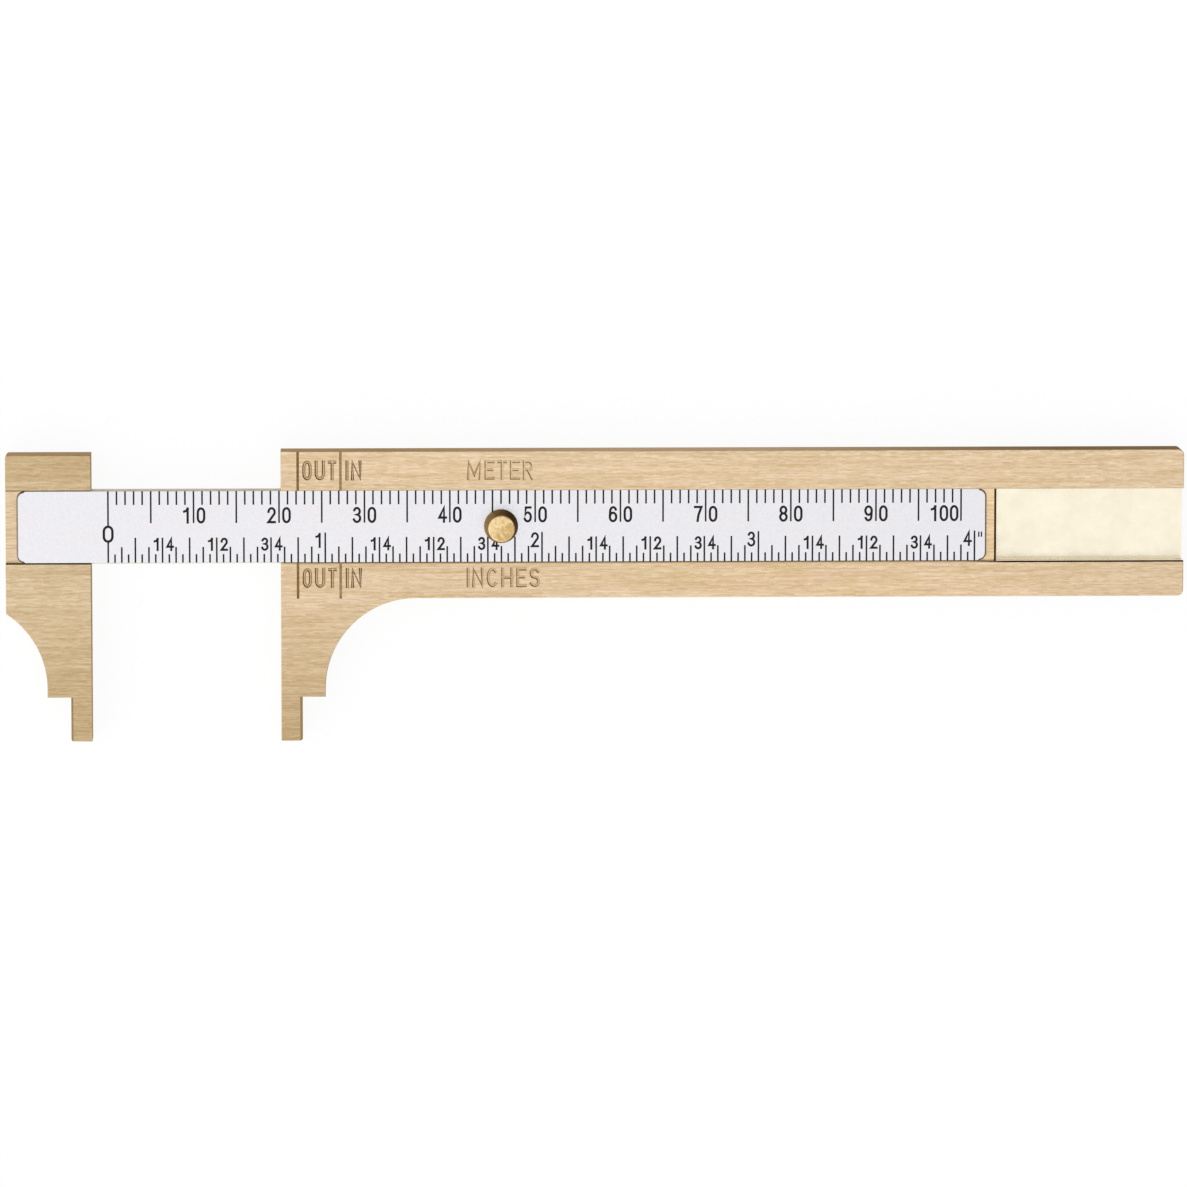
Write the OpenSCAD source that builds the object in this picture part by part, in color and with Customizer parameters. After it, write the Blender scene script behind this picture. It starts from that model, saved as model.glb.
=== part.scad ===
// Pocket caliper in brass. A channelled frame carries the fixed jaw, and a slide running in its
// channel carries the moving jaw, the scale and a thumb stud.
// X runs along the slide, Y across it and Z out of the front face. The origin lies on the back face,
// on the slide's centre line, in the plane of the fixed jaw's measuring face.

/* [Frame] */
// Length from the fixed jaw's measuring face to the far end
frame_len = 106; // [90:1:160]
// Thickness of the frame and of the moving jaw
frame_t = 4; // [3.8:0.1:6]
// Width of the rail above the channel
upper_rail = 4.6; // [3:0.1:8]
// Width of the rail below the channel
lower_rail = 4.2; // [3:0.1:8]
// Thickness of the channel's floor
floor_t = 1.6; // [1.3:0.1:2]
// Radius of the frame's far corners
corner_r = 0.7; // [0.2:0.1:1.5]

/* [Channel] */
// Width of the channel between the rails
slot_w = 8.5; // [7:0.1:12]
// How far the slide's guide tongues stand out, into grooves in the rails
tongue_out = 0.15; // [0.1:0.05:0.6]
// Height of the guide tongues
tongue_h = 0.6; // [0.3:0.05:0.8]
// Running clearance beside the slide, on each side
side_clear = 0.02; // [0.02:0.01:0.15]
// Running clearance under the slide, and above and below its tongues
run_clear = 0.05; // [0.02:0.01:0.15]
// How far the slide's far end stands out of the frame with the jaws shut
slide_over = 0.2; // [0:0.05:1]

/* [Jaws] */
// Width of the jaws above their nibs
jaw_w = 5.2; // [4:0.1:8]
// Reach of the jaws below the frame
jaw_reach = 16.8; // [13:0.1:30]
// Radius of the hollow between jaw and frame
jaw_blend_r = 10.6; // [4:0.1:11]
// Width of the nib that goes into a bore
nib_w = 2.5; // [1.5:0.1:3.5]
// Length of the nib
nib_len = 5.2; // [3:0.1:8]
// How far the nib's crowned outer face falls away at its front and back edges
nib_crown = 0.3; // [0.1:0.05:0.6]
// Width of the moving jaw's block
moving_jaw_w = 10; // [8:0.1:15]
// How far the moving jaw's upper edge lies below the frame's
moving_jaw_drop = 0.35; // [0:0.05:1]
// Radius of the moving jaw's upper corner
moving_corner_r = 0.4; // [0.2:0.1:1.5]
// Gap beside the slide in the moving jaw, on each side and around its tongues
jaw_fit = 0.06; // [0.02:0.01:0.15]
// Gap between the jaws as drawn
opening = 22.2; // [0:0.1:100]

/* [Scale] */
// Thickness of the scale plate
plate_t = 0.35; // [0.2:0.05:0.6]
// How far the plate's face lies below the front of the frame
plate_sink = 0.1; // [0:0.05:0.3]
// Thickness of the adhesive film under the plate
film_t = 0.05; // [0.03:0.01:0.1]
// Margin of slide along the plate's upper edge
plate_upper_edge = 0.01; // [0.01:0.01:0.2]
// Margin of slide along the plate's lower edge
plate_lower_edge = 0.05; // [0.01:0.01:0.2]
// Bare slide at the moving jaw's end of the plate
plate_near_gap = 1.3; // [0.8:0.1:3]
// Bare slide at the far end of the plate
plate_far_gap = 1.2; // [0.8:0.1:3]
// Radius of the plate's corners
plate_corner_r = 0.9; // [0.3:0.1:2]
// Distance from the moving jaw's face to the zero line, and from the fixed jaw's face to the outside index
zero_from_jaw = 2; // [1:0.1:4]
// Length of the metric scale
metric_span = 100; // [50:10:100]
// Inches on the inch scale
inch_span = 4; // [2:1:4]
// Width of an etched line
mark_w = 0.2; // [0.1:0.01:0.25]
// Depth of an etched line
mark_depth = 0.05; // [0.02:0.01:0.1]
// Length of a millimetre line
mm_mark = 1.6; // [1:0.1:2]
// Length of a five millimetre line
five_mm_mark = 3.75; // [2.5:0.05:4]
// Length of a whole inch line
inch_mark = 3.5; // [3:0.1:4]
// Length of an eighth of an inch line
eighth_mark = 2.95; // [2:0.05:3]
// Length of a sixteenth of an inch line
sixteenth_mark = 1.85; // [1.5:0.05:2]
// Length of a thirty-second of an inch line
thirty_second_mark = 1; // [0.5:0.05:1.5]
// Length of the zero line above the zero
zero_mark_upper = 4.1; // [3:0.1:4.5]
// Length of the zero line below the zero
zero_mark_lower = 2.45; // [1.5:0.05:3]

/* [Index lines] */
// Width of an index line on the rails
index_w = 0.3; // [0.15:0.05:0.5]
// Depth of an index line
index_depth = 0.15; // [0.05:0.05:0.3]

/* [Thumb stud] */
// Diameter of the stud's tapered head at the plate
stud_d = 4; // [3:0.1:6]
// Diameter of the head's top
stud_top_d = 3.1; // [2:0.1:5]
// Height of the head above the plate
stud_h = 3.2; // [1:0.1:5]
// Width of the head's broken top edge
stud_break = 0.12; // [0.05:0.01:0.3]
// Distance of the stud from the zero line
stud_from_zero = 46; // [20:1:80]
// Diameter of the stud's shank
shank_d = 1; // [0.8:0.1:1.2]
// Height of the cone that the shank's end is riveted into
rivet_h = 0.2; // [0.1:0.05:0.3]

/* [Stop pin] */
// Length of slide that stays in the frame at full opening
engaged = 4.2; // [3.6:0.1:8]
// Wall between the stop groove and the slide's far end
end_wall = 1.8; // [1:0.1:2]
// Diameter of the stop pin
stop_pin_d = 1.2; // [0.8:0.1:1.4]
// Height of the stop pin above the channel's floor
stop_pin_up = 0.7; // [0.4:0.05:0.8]
// Clearance of the stop pin in its groove, all round
groove_clear = 0.1; // [0.05:0.05:0.2]

/* [Friction spring] */
// Distance from the channel's mouth to the spring's pocket
pocket_from_mouth = 12; // [10:1:40]
// Length of the bowed leaf
spring_len = 23.6; // [15:0.1:40]
// Width of the leaf
spring_w = 3.8; // [2:0.1:6]
// Thickness of the leaf
spring_t = 0.2; // [0.1:0.05:0.3]
// Depth of the pocket in the channel's floor
pocket_depth = 0.7; // [0.4:0.05:0.9]
// Clearance round the leaf in its pocket
pocket_clear = 0.2; // [0.1:0.05:0.4]

/* [Jaw pins] */
// Diameter of the pins that hold the moving jaw to the slide
jaw_pin_d = 1.5; // [1:0.1:2]
// Distance between the pins
jaw_pin_pitch = 4.6; // [3:0.1:6]
// Depth of the pins in the slide
jaw_pin_bite = 1; // [0.6:0.1:1.2]

/* [Pin fits] */
// Radial clearance of pins and shanks in their holes
fit_clear = 0.02; // [0.01:0.01:0.05]
// How far the pins end short of the back face
pin_recess = 0.1; // [0.05:0.05:0.3]

/* [Hidden] */
$fn = 96;

// Amount by which a cutting shape passes the face that it cuts, and a joined one reaches into its neighbour
past = 1;
// Divisions of the two scales
long_line_every = 5;
inch = 25.4;
inch_parts = 32;

// Heights, from the back face
plate_top = frame_t - plate_sink;
plate_bottom = plate_top - plate_t;
bar_top = plate_bottom - film_t;
bar_bottom = floor_t + run_clear;
tongue_low = (bar_bottom + bar_top - tongue_h) / 2;
tongue_high = tongue_low + tongue_h;
groove_top = floor_t + stop_pin_up + groove_clear;

// Edges across the slide
slot_half = slot_w / 2;
bar_half = slot_half - side_clear;
plate_upper = bar_half - plate_upper_edge;
plate_lower = plate_lower_edge - bar_half;
top_edge = slot_half + upper_rail;
moving_top_edge = top_edge - moving_jaw_drop;
lower_edge = -slot_half - lower_rail;
jaw_tip = lower_edge - jaw_reach;
nib_step = jaw_tip + nib_len;
blend_r = min(jaw_blend_r, jaw_reach - nib_len);

// Radius of the nib's crowned face, from its fall over half the thickness
nib_crown_r = (frame_t * frame_t / 4 + nib_crown * nib_crown) / (2 * nib_crown);

// Places along the slide, from the moving jaw's measuring face
slide_far = frame_len + slide_over;
plate_near = plate_near_gap - moving_jaw_w;
plate_far = slide_far - plate_far_gap;
stud_x = zero_from_jaw + stud_from_zero;
groove_half = stop_pin_d / 2 + groove_clear;
groove_far = slide_far - end_wall;

// The shank's riveted end fills the width of the stop groove's roof
shank_r = shank_d / 2;
rivet_r = max(groove_half - fit_clear, shank_r);

// Places along the frame, from the fixed jaw's measuring face. With the jaws shut, places along the
// slide are the same, so the near end of the stop groove lies where it then clears the pin.
stop_pin_x = engaged - end_wall - groove_clear - stop_pin_d / 2;
groove_near = stop_pin_x - groove_half;
spring_x = pocket_from_mouth + pocket_clear + spring_len / 2;
index_lines = [zero_from_jaw, zero_from_jaw + 2 * nib_w];

// Graduations that fit on the plate
metric_count = min(metric_span, floor(plate_far - zero_from_jaw));
inch_count = min(inch_span * inch_parts, floor((plate_far - zero_from_jaw) * inch_parts / inch));

// Radius of the leaf's underside, from its bow and its length
spring_bow = pocket_depth - spring_t;
spring_r = (spring_len * spring_len / 4 + spring_bow * spring_bow) / (2 * spring_bow);

// Length of line number i of an inch scale, by the fraction that it marks
function inch_line(i) =
    i == 0 ? zero_mark_lower :
    i % inch_parts == 0 ? inch_mark :
    i % (inch_parts / 8) == 0 ? eighth_mark :
    i % (inch_parts / 16) == 0 ? sixteenth_mark :
    thirty_second_mark;

// Length of line number i of the metric scale
function metric_line(i) =
    i == 0 ? zero_mark_upper :
    i % long_line_every == 0 ? five_mm_mark :
    mm_mark;

// Section across the slide with its tongues, from the height z0 to z1. For a slot that it fits in, it is
// widened by "beside" on each side and by "around" above and below the tongues.
function slide_section(z0, z1, beside = 0, around = 0) =
    let (half = bar_half + beside,
         rib = half + tongue_out,
         r0 = tongue_low - around,
         r1 = tongue_high + around)
    [[-half, z0], [half, z0], [half, r0], [rib, r0], [rib, r1], [half, r1],
     [half, z1], [-half, z1], [-half, r1], [-rib, r1], [-rib, r0], [-half, r0]];

// Sweeps a section across the slide along X, from x0 to x1
module along_slide(section, x0, x1) {
    translate([x0, 0, 0]) rotate([90, 0, 90]) linear_extrude(x1 - x0) polygon(section);
}

// What is cut from a square corner at the origin, in the quarter below and left of it, to round it
module corner_cut(r) {
    translate([-r, -r]) difference() {
        square(r + past);
        circle(r);
    }
}

// Outline of a jaw from the frame down to its nib, with its measuring face on the Y axis and its
// hollow towards +X
module jaw_outline() {
    translate([0, nib_step]) square([jaw_w, lower_edge - nib_step + past]);
    difference() {
        translate([jaw_w - past, lower_edge - blend_r]) square(blend_r + past);
        translate([jaw_w + blend_r, lower_edge - blend_r]) circle(blend_r);
    }
}

// Nib at the tip of that jaw. Its outer face is crowned, so that it meets a bore along one line.
module nib() {
    translate([0, nib_step + past, 0]) rotate([90, 0, 0]) linear_extrude(nib_len + past) intersection() {
        square([nib_w + past, frame_t]);
        translate([nib_w - nib_crown_r, frame_t / 2]) circle(nib_crown_r);
    }
}

module frame_outline() {
    difference() {
        union() {
            translate([0, lower_edge]) square([frame_len, top_edge - lower_edge]);
            jaw_outline();
        }
        translate([frame_len, top_edge]) corner_cut(corner_r);
        translate([frame_len, lower_edge]) mirror([0, 1]) corner_cut(corner_r);
    }
}

module moving_jaw_outline() {
    difference() {
        union() {
            translate([-moving_jaw_w, lower_edge]) square([moving_jaw_w, moving_top_edge - lower_edge]);
            intersection() {
                mirror([1, 0]) jaw_outline();
                translate([-moving_jaw_w, nib_step]) square([moving_jaw_w, lower_edge - nib_step + past]);
            }
        }
        translate([-moving_jaw_w, moving_top_edge]) mirror([1, 0]) corner_cut(moving_corner_r);
    }
}

// Pocket in the channel's floor that holds the friction spring
module spring_pocket() {
    size = [spring_len + 2 * pocket_clear, spring_w + 2 * pocket_clear, pocket_depth + past];
    translate([pocket_from_mouth, -size[1] / 2, floor_t - pocket_depth]) cube(size);
}

// Index lines across both rails: outside measure first, then inside measure
module index_cuts() {
    for (x = index_lines)
        translate([x - index_w / 2, lower_edge, frame_t - index_depth])
            cube([index_w, top_edge - lower_edge + past, index_depth + past]);
}

module frame() {
    color("burlywood") difference() {
        union() {
            linear_extrude(frame_t) frame_outline();
            nib();
        }
        along_slide(slide_section(floor_t, frame_t + past, side_clear, run_clear), -past, frame_len + past);
        spring_pocket();
        translate([stop_pin_x, 0, -past]) cylinder(d = stop_pin_d + 2 * fit_clear, h = floor_t + 2 * past);
        index_cuts();
    }
}

module stop_pin() {
    color("silver") translate([stop_pin_x, 0, pin_recess])
        cylinder(d = stop_pin_d, h = floor_t + stop_pin_up - pin_recess);
}

// A bowed leaf: its ends stand on the pocket's floor and its crown reaches the channel's floor
module friction_spring() {
    color("peru") translate([spring_x, spring_w / 2, floor_t - pocket_depth]) rotate([90, 0, 0])
        linear_extrude(spring_w) intersection() {
            translate([0, spring_bow - spring_r]) difference() {
                circle(spring_r + spring_t, $fn = 256);
                circle(spring_r, $fn = 256);
            }
            translate([-spring_len / 2, -past]) square([spring_len, pocket_depth + 2 * past]);
        }
}

// Groove under the bar in which the stop pin runs
module stop_groove() {
    for (x = [groove_near + groove_half, groove_far - groove_half])
        translate([x, 0, bar_bottom - past]) cylinder(r = groove_half, h = groove_top - bar_bottom + past);
    translate([groove_near + groove_half, -groove_half, bar_bottom - past])
        cube([groove_far - groove_near - 2 * groove_half, 2 * groove_half, groove_top - bar_bottom + past]);
}

// The countersunk hole that the stud's shank fills
module shank_hole() {
    translate([stud_x, 0, groove_top]) {
        translate([0, 0, -past]) cylinder(r = shank_r + fit_clear, h = bar_top - groove_top + 2 * past);
        cylinder(r1 = rivet_r + fit_clear, r2 = shank_r + fit_clear, h = rivet_h);
    }
}

// One shape at the place of each jaw pin
module at_jaw_pins() {
    for (side = [-1, 1])
        translate([-moving_jaw_w / 2 + side * jaw_pin_pitch / 2, 0, 0]) children();
}

// Everything that moves with the slide, placed at the opening as drawn
module on_slide() {
    translate([-opening, 0, 0]) children();
}

module slide_bar() {
    color("burlywood") on_slide() difference() {
        along_slide(slide_section(bar_bottom, bar_top), -moving_jaw_w, slide_far);
        stop_groove();
        shank_hole();
        at_jaw_pins() cylinder(d = jaw_pin_d + 2 * fit_clear, h = bar_bottom + jaw_pin_bite + fit_clear);
    }
}

// Its slot fits round the bar, whose underside lies on the slot's floor
module moving_jaw() {
    color("tan") on_slide() difference() {
        union() {
            linear_extrude(frame_t) moving_jaw_outline();
            mirror([1, 0, 0]) nib();
        }
        along_slide(slide_section(bar_bottom, frame_t + past, jaw_fit, jaw_fit), -moving_jaw_w - past, past);
        at_jaw_pins() translate([0, 0, -past])
            cylinder(d = jaw_pin_d + 2 * fit_clear, h = bar_bottom + 2 * past);
    }
}

module jaw_pins() {
    color("goldenrod") on_slide() at_jaw_pins() translate([0, 0, pin_recess])
        cylinder(d = jaw_pin_d, h = bar_bottom + jaw_pin_bite - pin_recess);
}

// Outline of the scale plate and of its film
module plate_outline() {
    difference() {
        translate([plate_near, plate_lower]) square([plate_far - plate_near, plate_upper - plate_lower]);
        translate([plate_far, plate_upper]) corner_cut(plate_corner_r);
        translate([plate_near, plate_upper]) mirror([1, 0]) corner_cut(plate_corner_r);
        translate([plate_far, plate_lower]) mirror([0, 1]) corner_cut(plate_corner_r);
        translate([plate_near, plate_lower]) rotate(180) corner_cut(plate_corner_r);
        translate([stud_x, 0]) circle(shank_r + fit_clear);
    }
}

module adhesive_film() {
    color("whitesmoke") on_slide() translate([0, 0, bar_top]) linear_extrude(film_t) plate_outline();
}

// One etched line at x, running in from the plate's long edge at the given side
module etched_line(x, length, side) {
    start = side > 0 ? plate_upper - length : plate_lower - past;
    translate([x - mark_w / 2, start, plate_top - mark_depth])
        cube([mark_w, length + past, mark_depth + past]);
}

module scale_plate() {
    color("gainsboro") on_slide() difference() {
        translate([0, 0, plate_bottom]) linear_extrude(plate_t) plate_outline();
        for (i = [0:metric_count]) etched_line(zero_from_jaw + i, metric_line(i), 1);
        for (i = [0:inch_count]) etched_line(zero_from_jaw + i * inch / inch_parts, inch_line(i), -1);
    }
}

// A tapered head on a shank whose end is riveted into the bar
module thumb_stud() {
    stud_top = plate_top + stud_h;
    color("gold") on_slide() translate([stud_x, 0, 0]) rotate_extrude()
        polygon([[0, groove_top], [rivet_r, groove_top], [shank_r, groove_top + rivet_h],
                 [shank_r, plate_top], [stud_d / 2, plate_top], [stud_top_d / 2, stud_top - stud_break],
                 [stud_top_d / 2 - stud_break, stud_top], [0, stud_top]]);
}

frame();
stop_pin();
friction_spring();
slide_bar();
moving_jaw();
jaw_pins();
adhesive_film();
scale_plate();
thumb_stud();
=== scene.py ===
"""A brass pocket caliper: brushed frame and jaws, an inked scale on a slide, and stamped words."""

import math
from typing import NamedTuple

import bmesh
import bpy
from bpy.props import FloatProperty, FloatVectorProperty, IntProperty, PointerProperty
from mathutils import Euler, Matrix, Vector, noise


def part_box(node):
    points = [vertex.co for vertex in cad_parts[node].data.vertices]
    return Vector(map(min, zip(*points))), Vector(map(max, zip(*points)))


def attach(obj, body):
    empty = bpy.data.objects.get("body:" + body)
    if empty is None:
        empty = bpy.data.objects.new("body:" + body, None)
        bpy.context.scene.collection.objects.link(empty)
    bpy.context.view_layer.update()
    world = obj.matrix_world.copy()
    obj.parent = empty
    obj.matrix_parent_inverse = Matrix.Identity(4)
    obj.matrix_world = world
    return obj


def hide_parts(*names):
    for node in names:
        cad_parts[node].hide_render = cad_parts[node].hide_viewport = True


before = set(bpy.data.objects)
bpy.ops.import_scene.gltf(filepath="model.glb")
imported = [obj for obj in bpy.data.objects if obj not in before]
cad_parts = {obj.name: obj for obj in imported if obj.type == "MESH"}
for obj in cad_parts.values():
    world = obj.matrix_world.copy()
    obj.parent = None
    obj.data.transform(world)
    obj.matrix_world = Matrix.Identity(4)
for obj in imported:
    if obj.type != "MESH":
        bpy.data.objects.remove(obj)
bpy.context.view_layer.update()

bl_info = {
    "name": "Pocket Caliper",
    "version": (1, 0, 0),
    "blender": (4, 5, 0),
    "location": "View3D > Sidebar > Caliper",
    "description": "Finishes a pocket caliper in brushed brass with an inked scale and stamped words",
    "category": "Object",
}

MM = 0.001
INCH = 25.4 * MM

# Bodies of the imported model
FRAME_BODY = "frame_body"
SLIDE_BODY = "slide_body"

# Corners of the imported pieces, from which the places of everything else are worked out
FRAME_LOW, FRAME_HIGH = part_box("frame")
BAR_LOW, BAR_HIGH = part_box("slide_bar")
JAW_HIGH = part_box("moving_jaw")[1]
PLATE_LOW, PLATE_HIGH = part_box("scale_plate")
STUD_LOW, STUD_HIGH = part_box("thumb_stud")

# Gap between the plate's upper edge and the channel's wall, and a margin past the slide's tongues
PLATE_GAP = 0.03 * MM
TONGUE_MARGIN = 0.1 * MM

# Half the width of the channel between its lips, and in its grooves with that margin
LIP = PLATE_HIGH.y + PLATE_GAP
CHANNEL = BAR_HIGH.y + TONGUE_MARGIN

# Two vertices nearer than this are one, and two directions nearer than this are parallel
MERGE_DISTANCE = 0.001 * MM
PARALLEL = 0.9998

# A face whose normal has more than this along Z counts as a front or a back
FACING = 0.7

# A face whose normal has less than this along an axis runs along that axis
RUNS_ALONG = 0.1

# Faces that meet at more than the first look creased, and at less than the second they are one flat face
SHARP_ANGLE = math.radians(50)
FLAT_ANGLE = math.radians(0.3)

# A cutting shape passes the face that it cuts by this much
PAST = 0.005 * MM


def srgb(text):
    """Linear colour of an sRGB hex value."""
    channels = [int(text[i:i + 2], 16) / 255 for i in (1, 3, 5)]
    return [c / 12.92 if c <= 0.04045 else ((c + 0.055) / 1.055) ** 2.4 for c in channels] + [1.0]


def colour(label, text, description):
    """A colour property with an sRGB hex default."""
    return FloatVectorProperty(name=label, description=description, default=srgb(text),
                               subtype="COLOR", size=4, min=0, max=1)


def length(label, millimetres, description):
    """A length property with its default in millimetres."""
    return FloatProperty(name=label, description=description, default=millimetres * MM,
                         unit="LENGTH", precision=5)


def count(label, number, description):
    """A property that counts something."""
    return IntProperty(name=label, description=description, default=number, min=1)


class CaliperFinish(bpy.types.PropertyGroup):
    """Colours and edges of the metal pieces."""

    brass: colour("Brushed brass", "#E4CAA6", "Front of the frame")
    jaw_brass: colour("Jaw brass", "#DBC39E", "Front of the moving jaw")
    # The moving jaw is darker above the slide and at its tips
    head_brass: colour("Jaw head brass", "#CAB087", "Moving jaw above the slide")
    tip_brass: colour("Jaw tip brass", "#C3A980", "Jaw tips, darkened by handling")
    bar_brass: colour("Bar brass", "#EFD5AC", "Bare ends of the slide's bar")
    bar_side: colour("Bar side", "#E3DCCC", "Dull sides of the slide's bar")
    # Painted shade: the brown side tones stand in for the shade on the sawn and filed sides, lighter at the
    # frame's middle and darker at its far end
    edge_brass: colour("Edge brass", "#B4996E", "Sawn and filed sides")
    rubbed_brass: colour("Middle side shade", "#CAB091", "Sides at the frame's middle, rubbed by the hand")
    far_brass: colour("Far side shade", "#785F3A", "Sides at the frame's far end, seldom wiped")
    # Painted shade: dark brown standing in for the shadow at the slide's far end and the shade in the jaw's
    # slot
    wall_brass: colour("Tarnished brass", "#583C16", "The jaw's slot and the slide's far end")
    # Painted shade: a strip along the channel's lower edge, a little dark where the slide lies and very dark
    # beyond it, stands in for the shade of the gap beside the plate and of the channel's lower wall
    lip_far: colour("Channel far edge", "#2A1602", "Lower edge of the channel beyond the slide")
    lip_brass: colour("Channel edge", "#CDB38B", "Lower edge of the channel where the slide wipes it")
    # Painted highlight: the channel's near-white tone stands in for the bright reflection on its floor, and
    # its walls share it
    floor_brass: colour("Channel", "#FDF3DC", "Polished floor and walls of the channel")
    index_stamp: colour("Index words", "#9C7F54", "Walls of the words beside the index lines")
    metric_stamp: colour("Metric word", "#C2A97F", "Walls of the word that names the metric scale")
    # The inch word's walls are darker than the metric word's
    inch_stamp: colour("Inch word", "#B0946A", "Walls of the word that names the inch scale, less wiped")
    # The first index line's walls are darker than the second's
    outside_index: colour("Outside index", "#8E7048", "First index line, filled with old polish")
    inside_index: colour("Inside index", "#A48862", "Second index line")
    stud_top: colour("Stud top", "#F3D8A2", "Peened top of the thumb stud")
    # Painted light and shade: the stud's side is dark brown, lighter towards its left and darkest towards its
    # right
    stud_near: colour("Stud near side", "#A3865C", "Side of the thumb stud that is rubbed")
    stud_far: colour("Stud far side", "#4A3014", "Side of the thumb stud that is not")
    plate: colour("Plate", "#ECEBEF", "Satin face of the scale plate")
    # Painted shade: the dark grey of the plate's ends and sides stands in for the shadow at its edges
    plate_edge: colour("Plate edge", "#91887B", "Sheared edge of the scale plate")
    ink: colour("Ink", "#121213", "Scale lines and numerals")
    edge_width: length("Edge break", 0.07, "Width of the broken edges of the frame and the jaws")
    groove_width: length("Groove edge break", 0.1, "Width of the broken edges of the channel's grooves")
    # The strip along the channel's lower edge carries painted shade
    lip_width: length("Channel edge width", 0.19, "Width of the worn strip along the channel's lower edge")
    bar_end_width: length("Bar end break", 0.27, "Width of the broken edge at the slide's far end")
    plate_edge_width: length("Plate edge break", 0.18, "Width of the rounded edge at the plate's ends")


class CaliperScale(bpy.types.PropertyGroup):
    """Lines of the two scales."""

    zero_from_jaw: length("Zero from jaw", 2, "Distance from the moving jaw's face to the zero line")
    line_width: length("Line width", 0.195, "Width of an inked line")
    line_height: length("Line height", 0.04, "Thickness of the ink in an etched line")
    ink_below: length("Ink below face", 0.01, "How far the ink in a line lies below the plate's face")
    millimetres: count("Millimetres", 100, "Millimetres on the scale")
    inches: count("Inches", 4, "Inches on the scale")
    inch_parts: count("Parts of an inch", 32, "Divisions of an inch")
    mm_mark: length("Millimetre line", 1.6, "Length of a millimetre line")
    five_mm_mark: length("Five millimetre line", 3.75, "Length of a five millimetre line")
    inch_mark: length("Inch line", 3.5, "Length of a whole inch line")
    eighth_mark: length("Eighth line", 2.95, "Length of an eighth of an inch line")
    sixteenth_mark: length("Sixteenth line", 1.85, "Length of a sixteenth of an inch line")
    thirty_second_mark: length("Thirty-second line", 1, "Length of a thirty-second of an inch line")
    zero_mark_upper: length("Zero line above", 4.1, "Length of the zero line above the zero")
    zero_mark_lower: length("Zero line below", 2.45, "Length of the zero line below the zero")


class CaliperNumerals(bpy.types.PropertyGroup):
    """Sizes and places of the printed numerals."""

    ink_height: length("Ink height", 0.012, "Thickness of the printed ink")
    metric_pen: length("Metric pen", 0.275, "Width of the strokes of the metric numerals")
    metric_width: length("Metric width", 1.02, "Width of a metric numeral")
    metric_height: length("Metric height", 1.91, "Height of a metric numeral")
    metric_foot: length("Metric foot", 0.42, "Height of the metric numerals' foot")
    metric_gap: length("Metric gap", 0.36, "Gap between a metric numeral and its line")
    last_gap: length("Last gap", 0.3, "Gap between the last metric numeral and its line")
    last_space: length("Last space", 0.18, "Gap between the last metric numerals")
    inch_pen: length("Inch pen", 0.255, "Width of the strokes of the inch numerals")
    inch_width: length("Inch width", 0.88, "Width of an inch numeral")
    quarter_height: length("Quarter height", 1.56, "Height of the quarters' numerals")
    quarter_foot: length("Quarter foot", -2.81, "Height of the quarters' foot")
    over_gap: length("Upper gap", 0.28, "Gap between a quarter's first numeral and its line")
    under_gap: length("Lower gap", 0.43, "Gap between a quarter's line and its second numeral")
    whole_width: length("Whole width", 0.95, "Width of the whole inches' numerals")
    whole_height: length("Whole height", 1.78, "Height of the whole inches' numerals")
    whole_foot: length("Whole foot", -2.5, "Height of the whole inches' foot")
    whole_gap: length("Whole gap", 0.35, "Gap between a whole inch numeral and its line")
    sign_pen: length("Inch sign pen", 0.17, "Width of the strokes of the inch sign")
    sign_gap: length("Inch sign gap", 0.505, "Gap between the last inch line and the inch sign")
    sign_pitch: length("Inch sign pitch", 0.315, "Distance between the two strokes of the inch sign")
    sign_top: length("Inch sign top", -0.905, "Height of the inch sign's top")
    sign_height: length("Inch sign height", 0.44, "Height of the inch sign")
    zero_pen: length("Zero pen", 0.29, "Width of the shared zero's stroke")
    zero_width: length("Zero width", 1.29, "Width of the shared zero")
    zero_height: length("Zero height", 2.04, "Height of the shared zero")
    zero_middle: length("Zero middle", -0.805, "Height of the shared zero's middle")


class CaliperStamp(bpy.types.PropertyGroup):
    """Words stamped into the rails."""

    cap_height: length("Cap height", 2.35, "Height of the letters")
    stroke: length("Stroke", 0.4, "Width of a stroke at the surface")
    foot: length("Stroke foot", 0.08, "Width of a stroke at its deepest")
    depth: length("Depth", 0.11, "Depth of a stroke")
    unit_stroke: length("Unit stroke", 0.4, "Width of a stroke of the units' words")
    unit_foot: length("Unit foot", 0.06, "Width of such a stroke at its deepest")
    unit_depth: length("Unit depth", 0.08, "Depth of such a stroke")
    letter_gap: length("Letter gap", 0.3, "Gap between two letters")
    upper_base: length("Upper baseline", 5.46, "Height of the words' foot on the upper rail")
    lower_base: length("Lower baseline", -7.2, "Height of the words' foot on the lower rail")


class CaliperStud(bpy.types.PropertyGroup):
    """Sizes of the thumb stud that its box doesn't give."""

    top_radius: length("Top radius", 1.55, "Radius of the tapered head at its top")
    rim: length("Rim", 0.12, "Rounding of the head's top edge")
    shank_radius: length("Shank radius", 0.5, "Radius of the shank")
    rivet_radius: length("Rivet radius", 0.68, "Radius of the shank's riveted end")
    rivet_height: length("Rivet height", 0.2, "Height of the cone at the riveted end")
    dent_depth: length("Dent depth", 0.06, "Depth of the deepest hammer marks")
    steps: count("Steps", 64, "Steps round the stud")
    rim_steps: count("Rim steps", 4, "Steps over the rim")
    top_rings: count("Top rings", 14, "Rings on the top, fine enough for the hammer marks")


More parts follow.
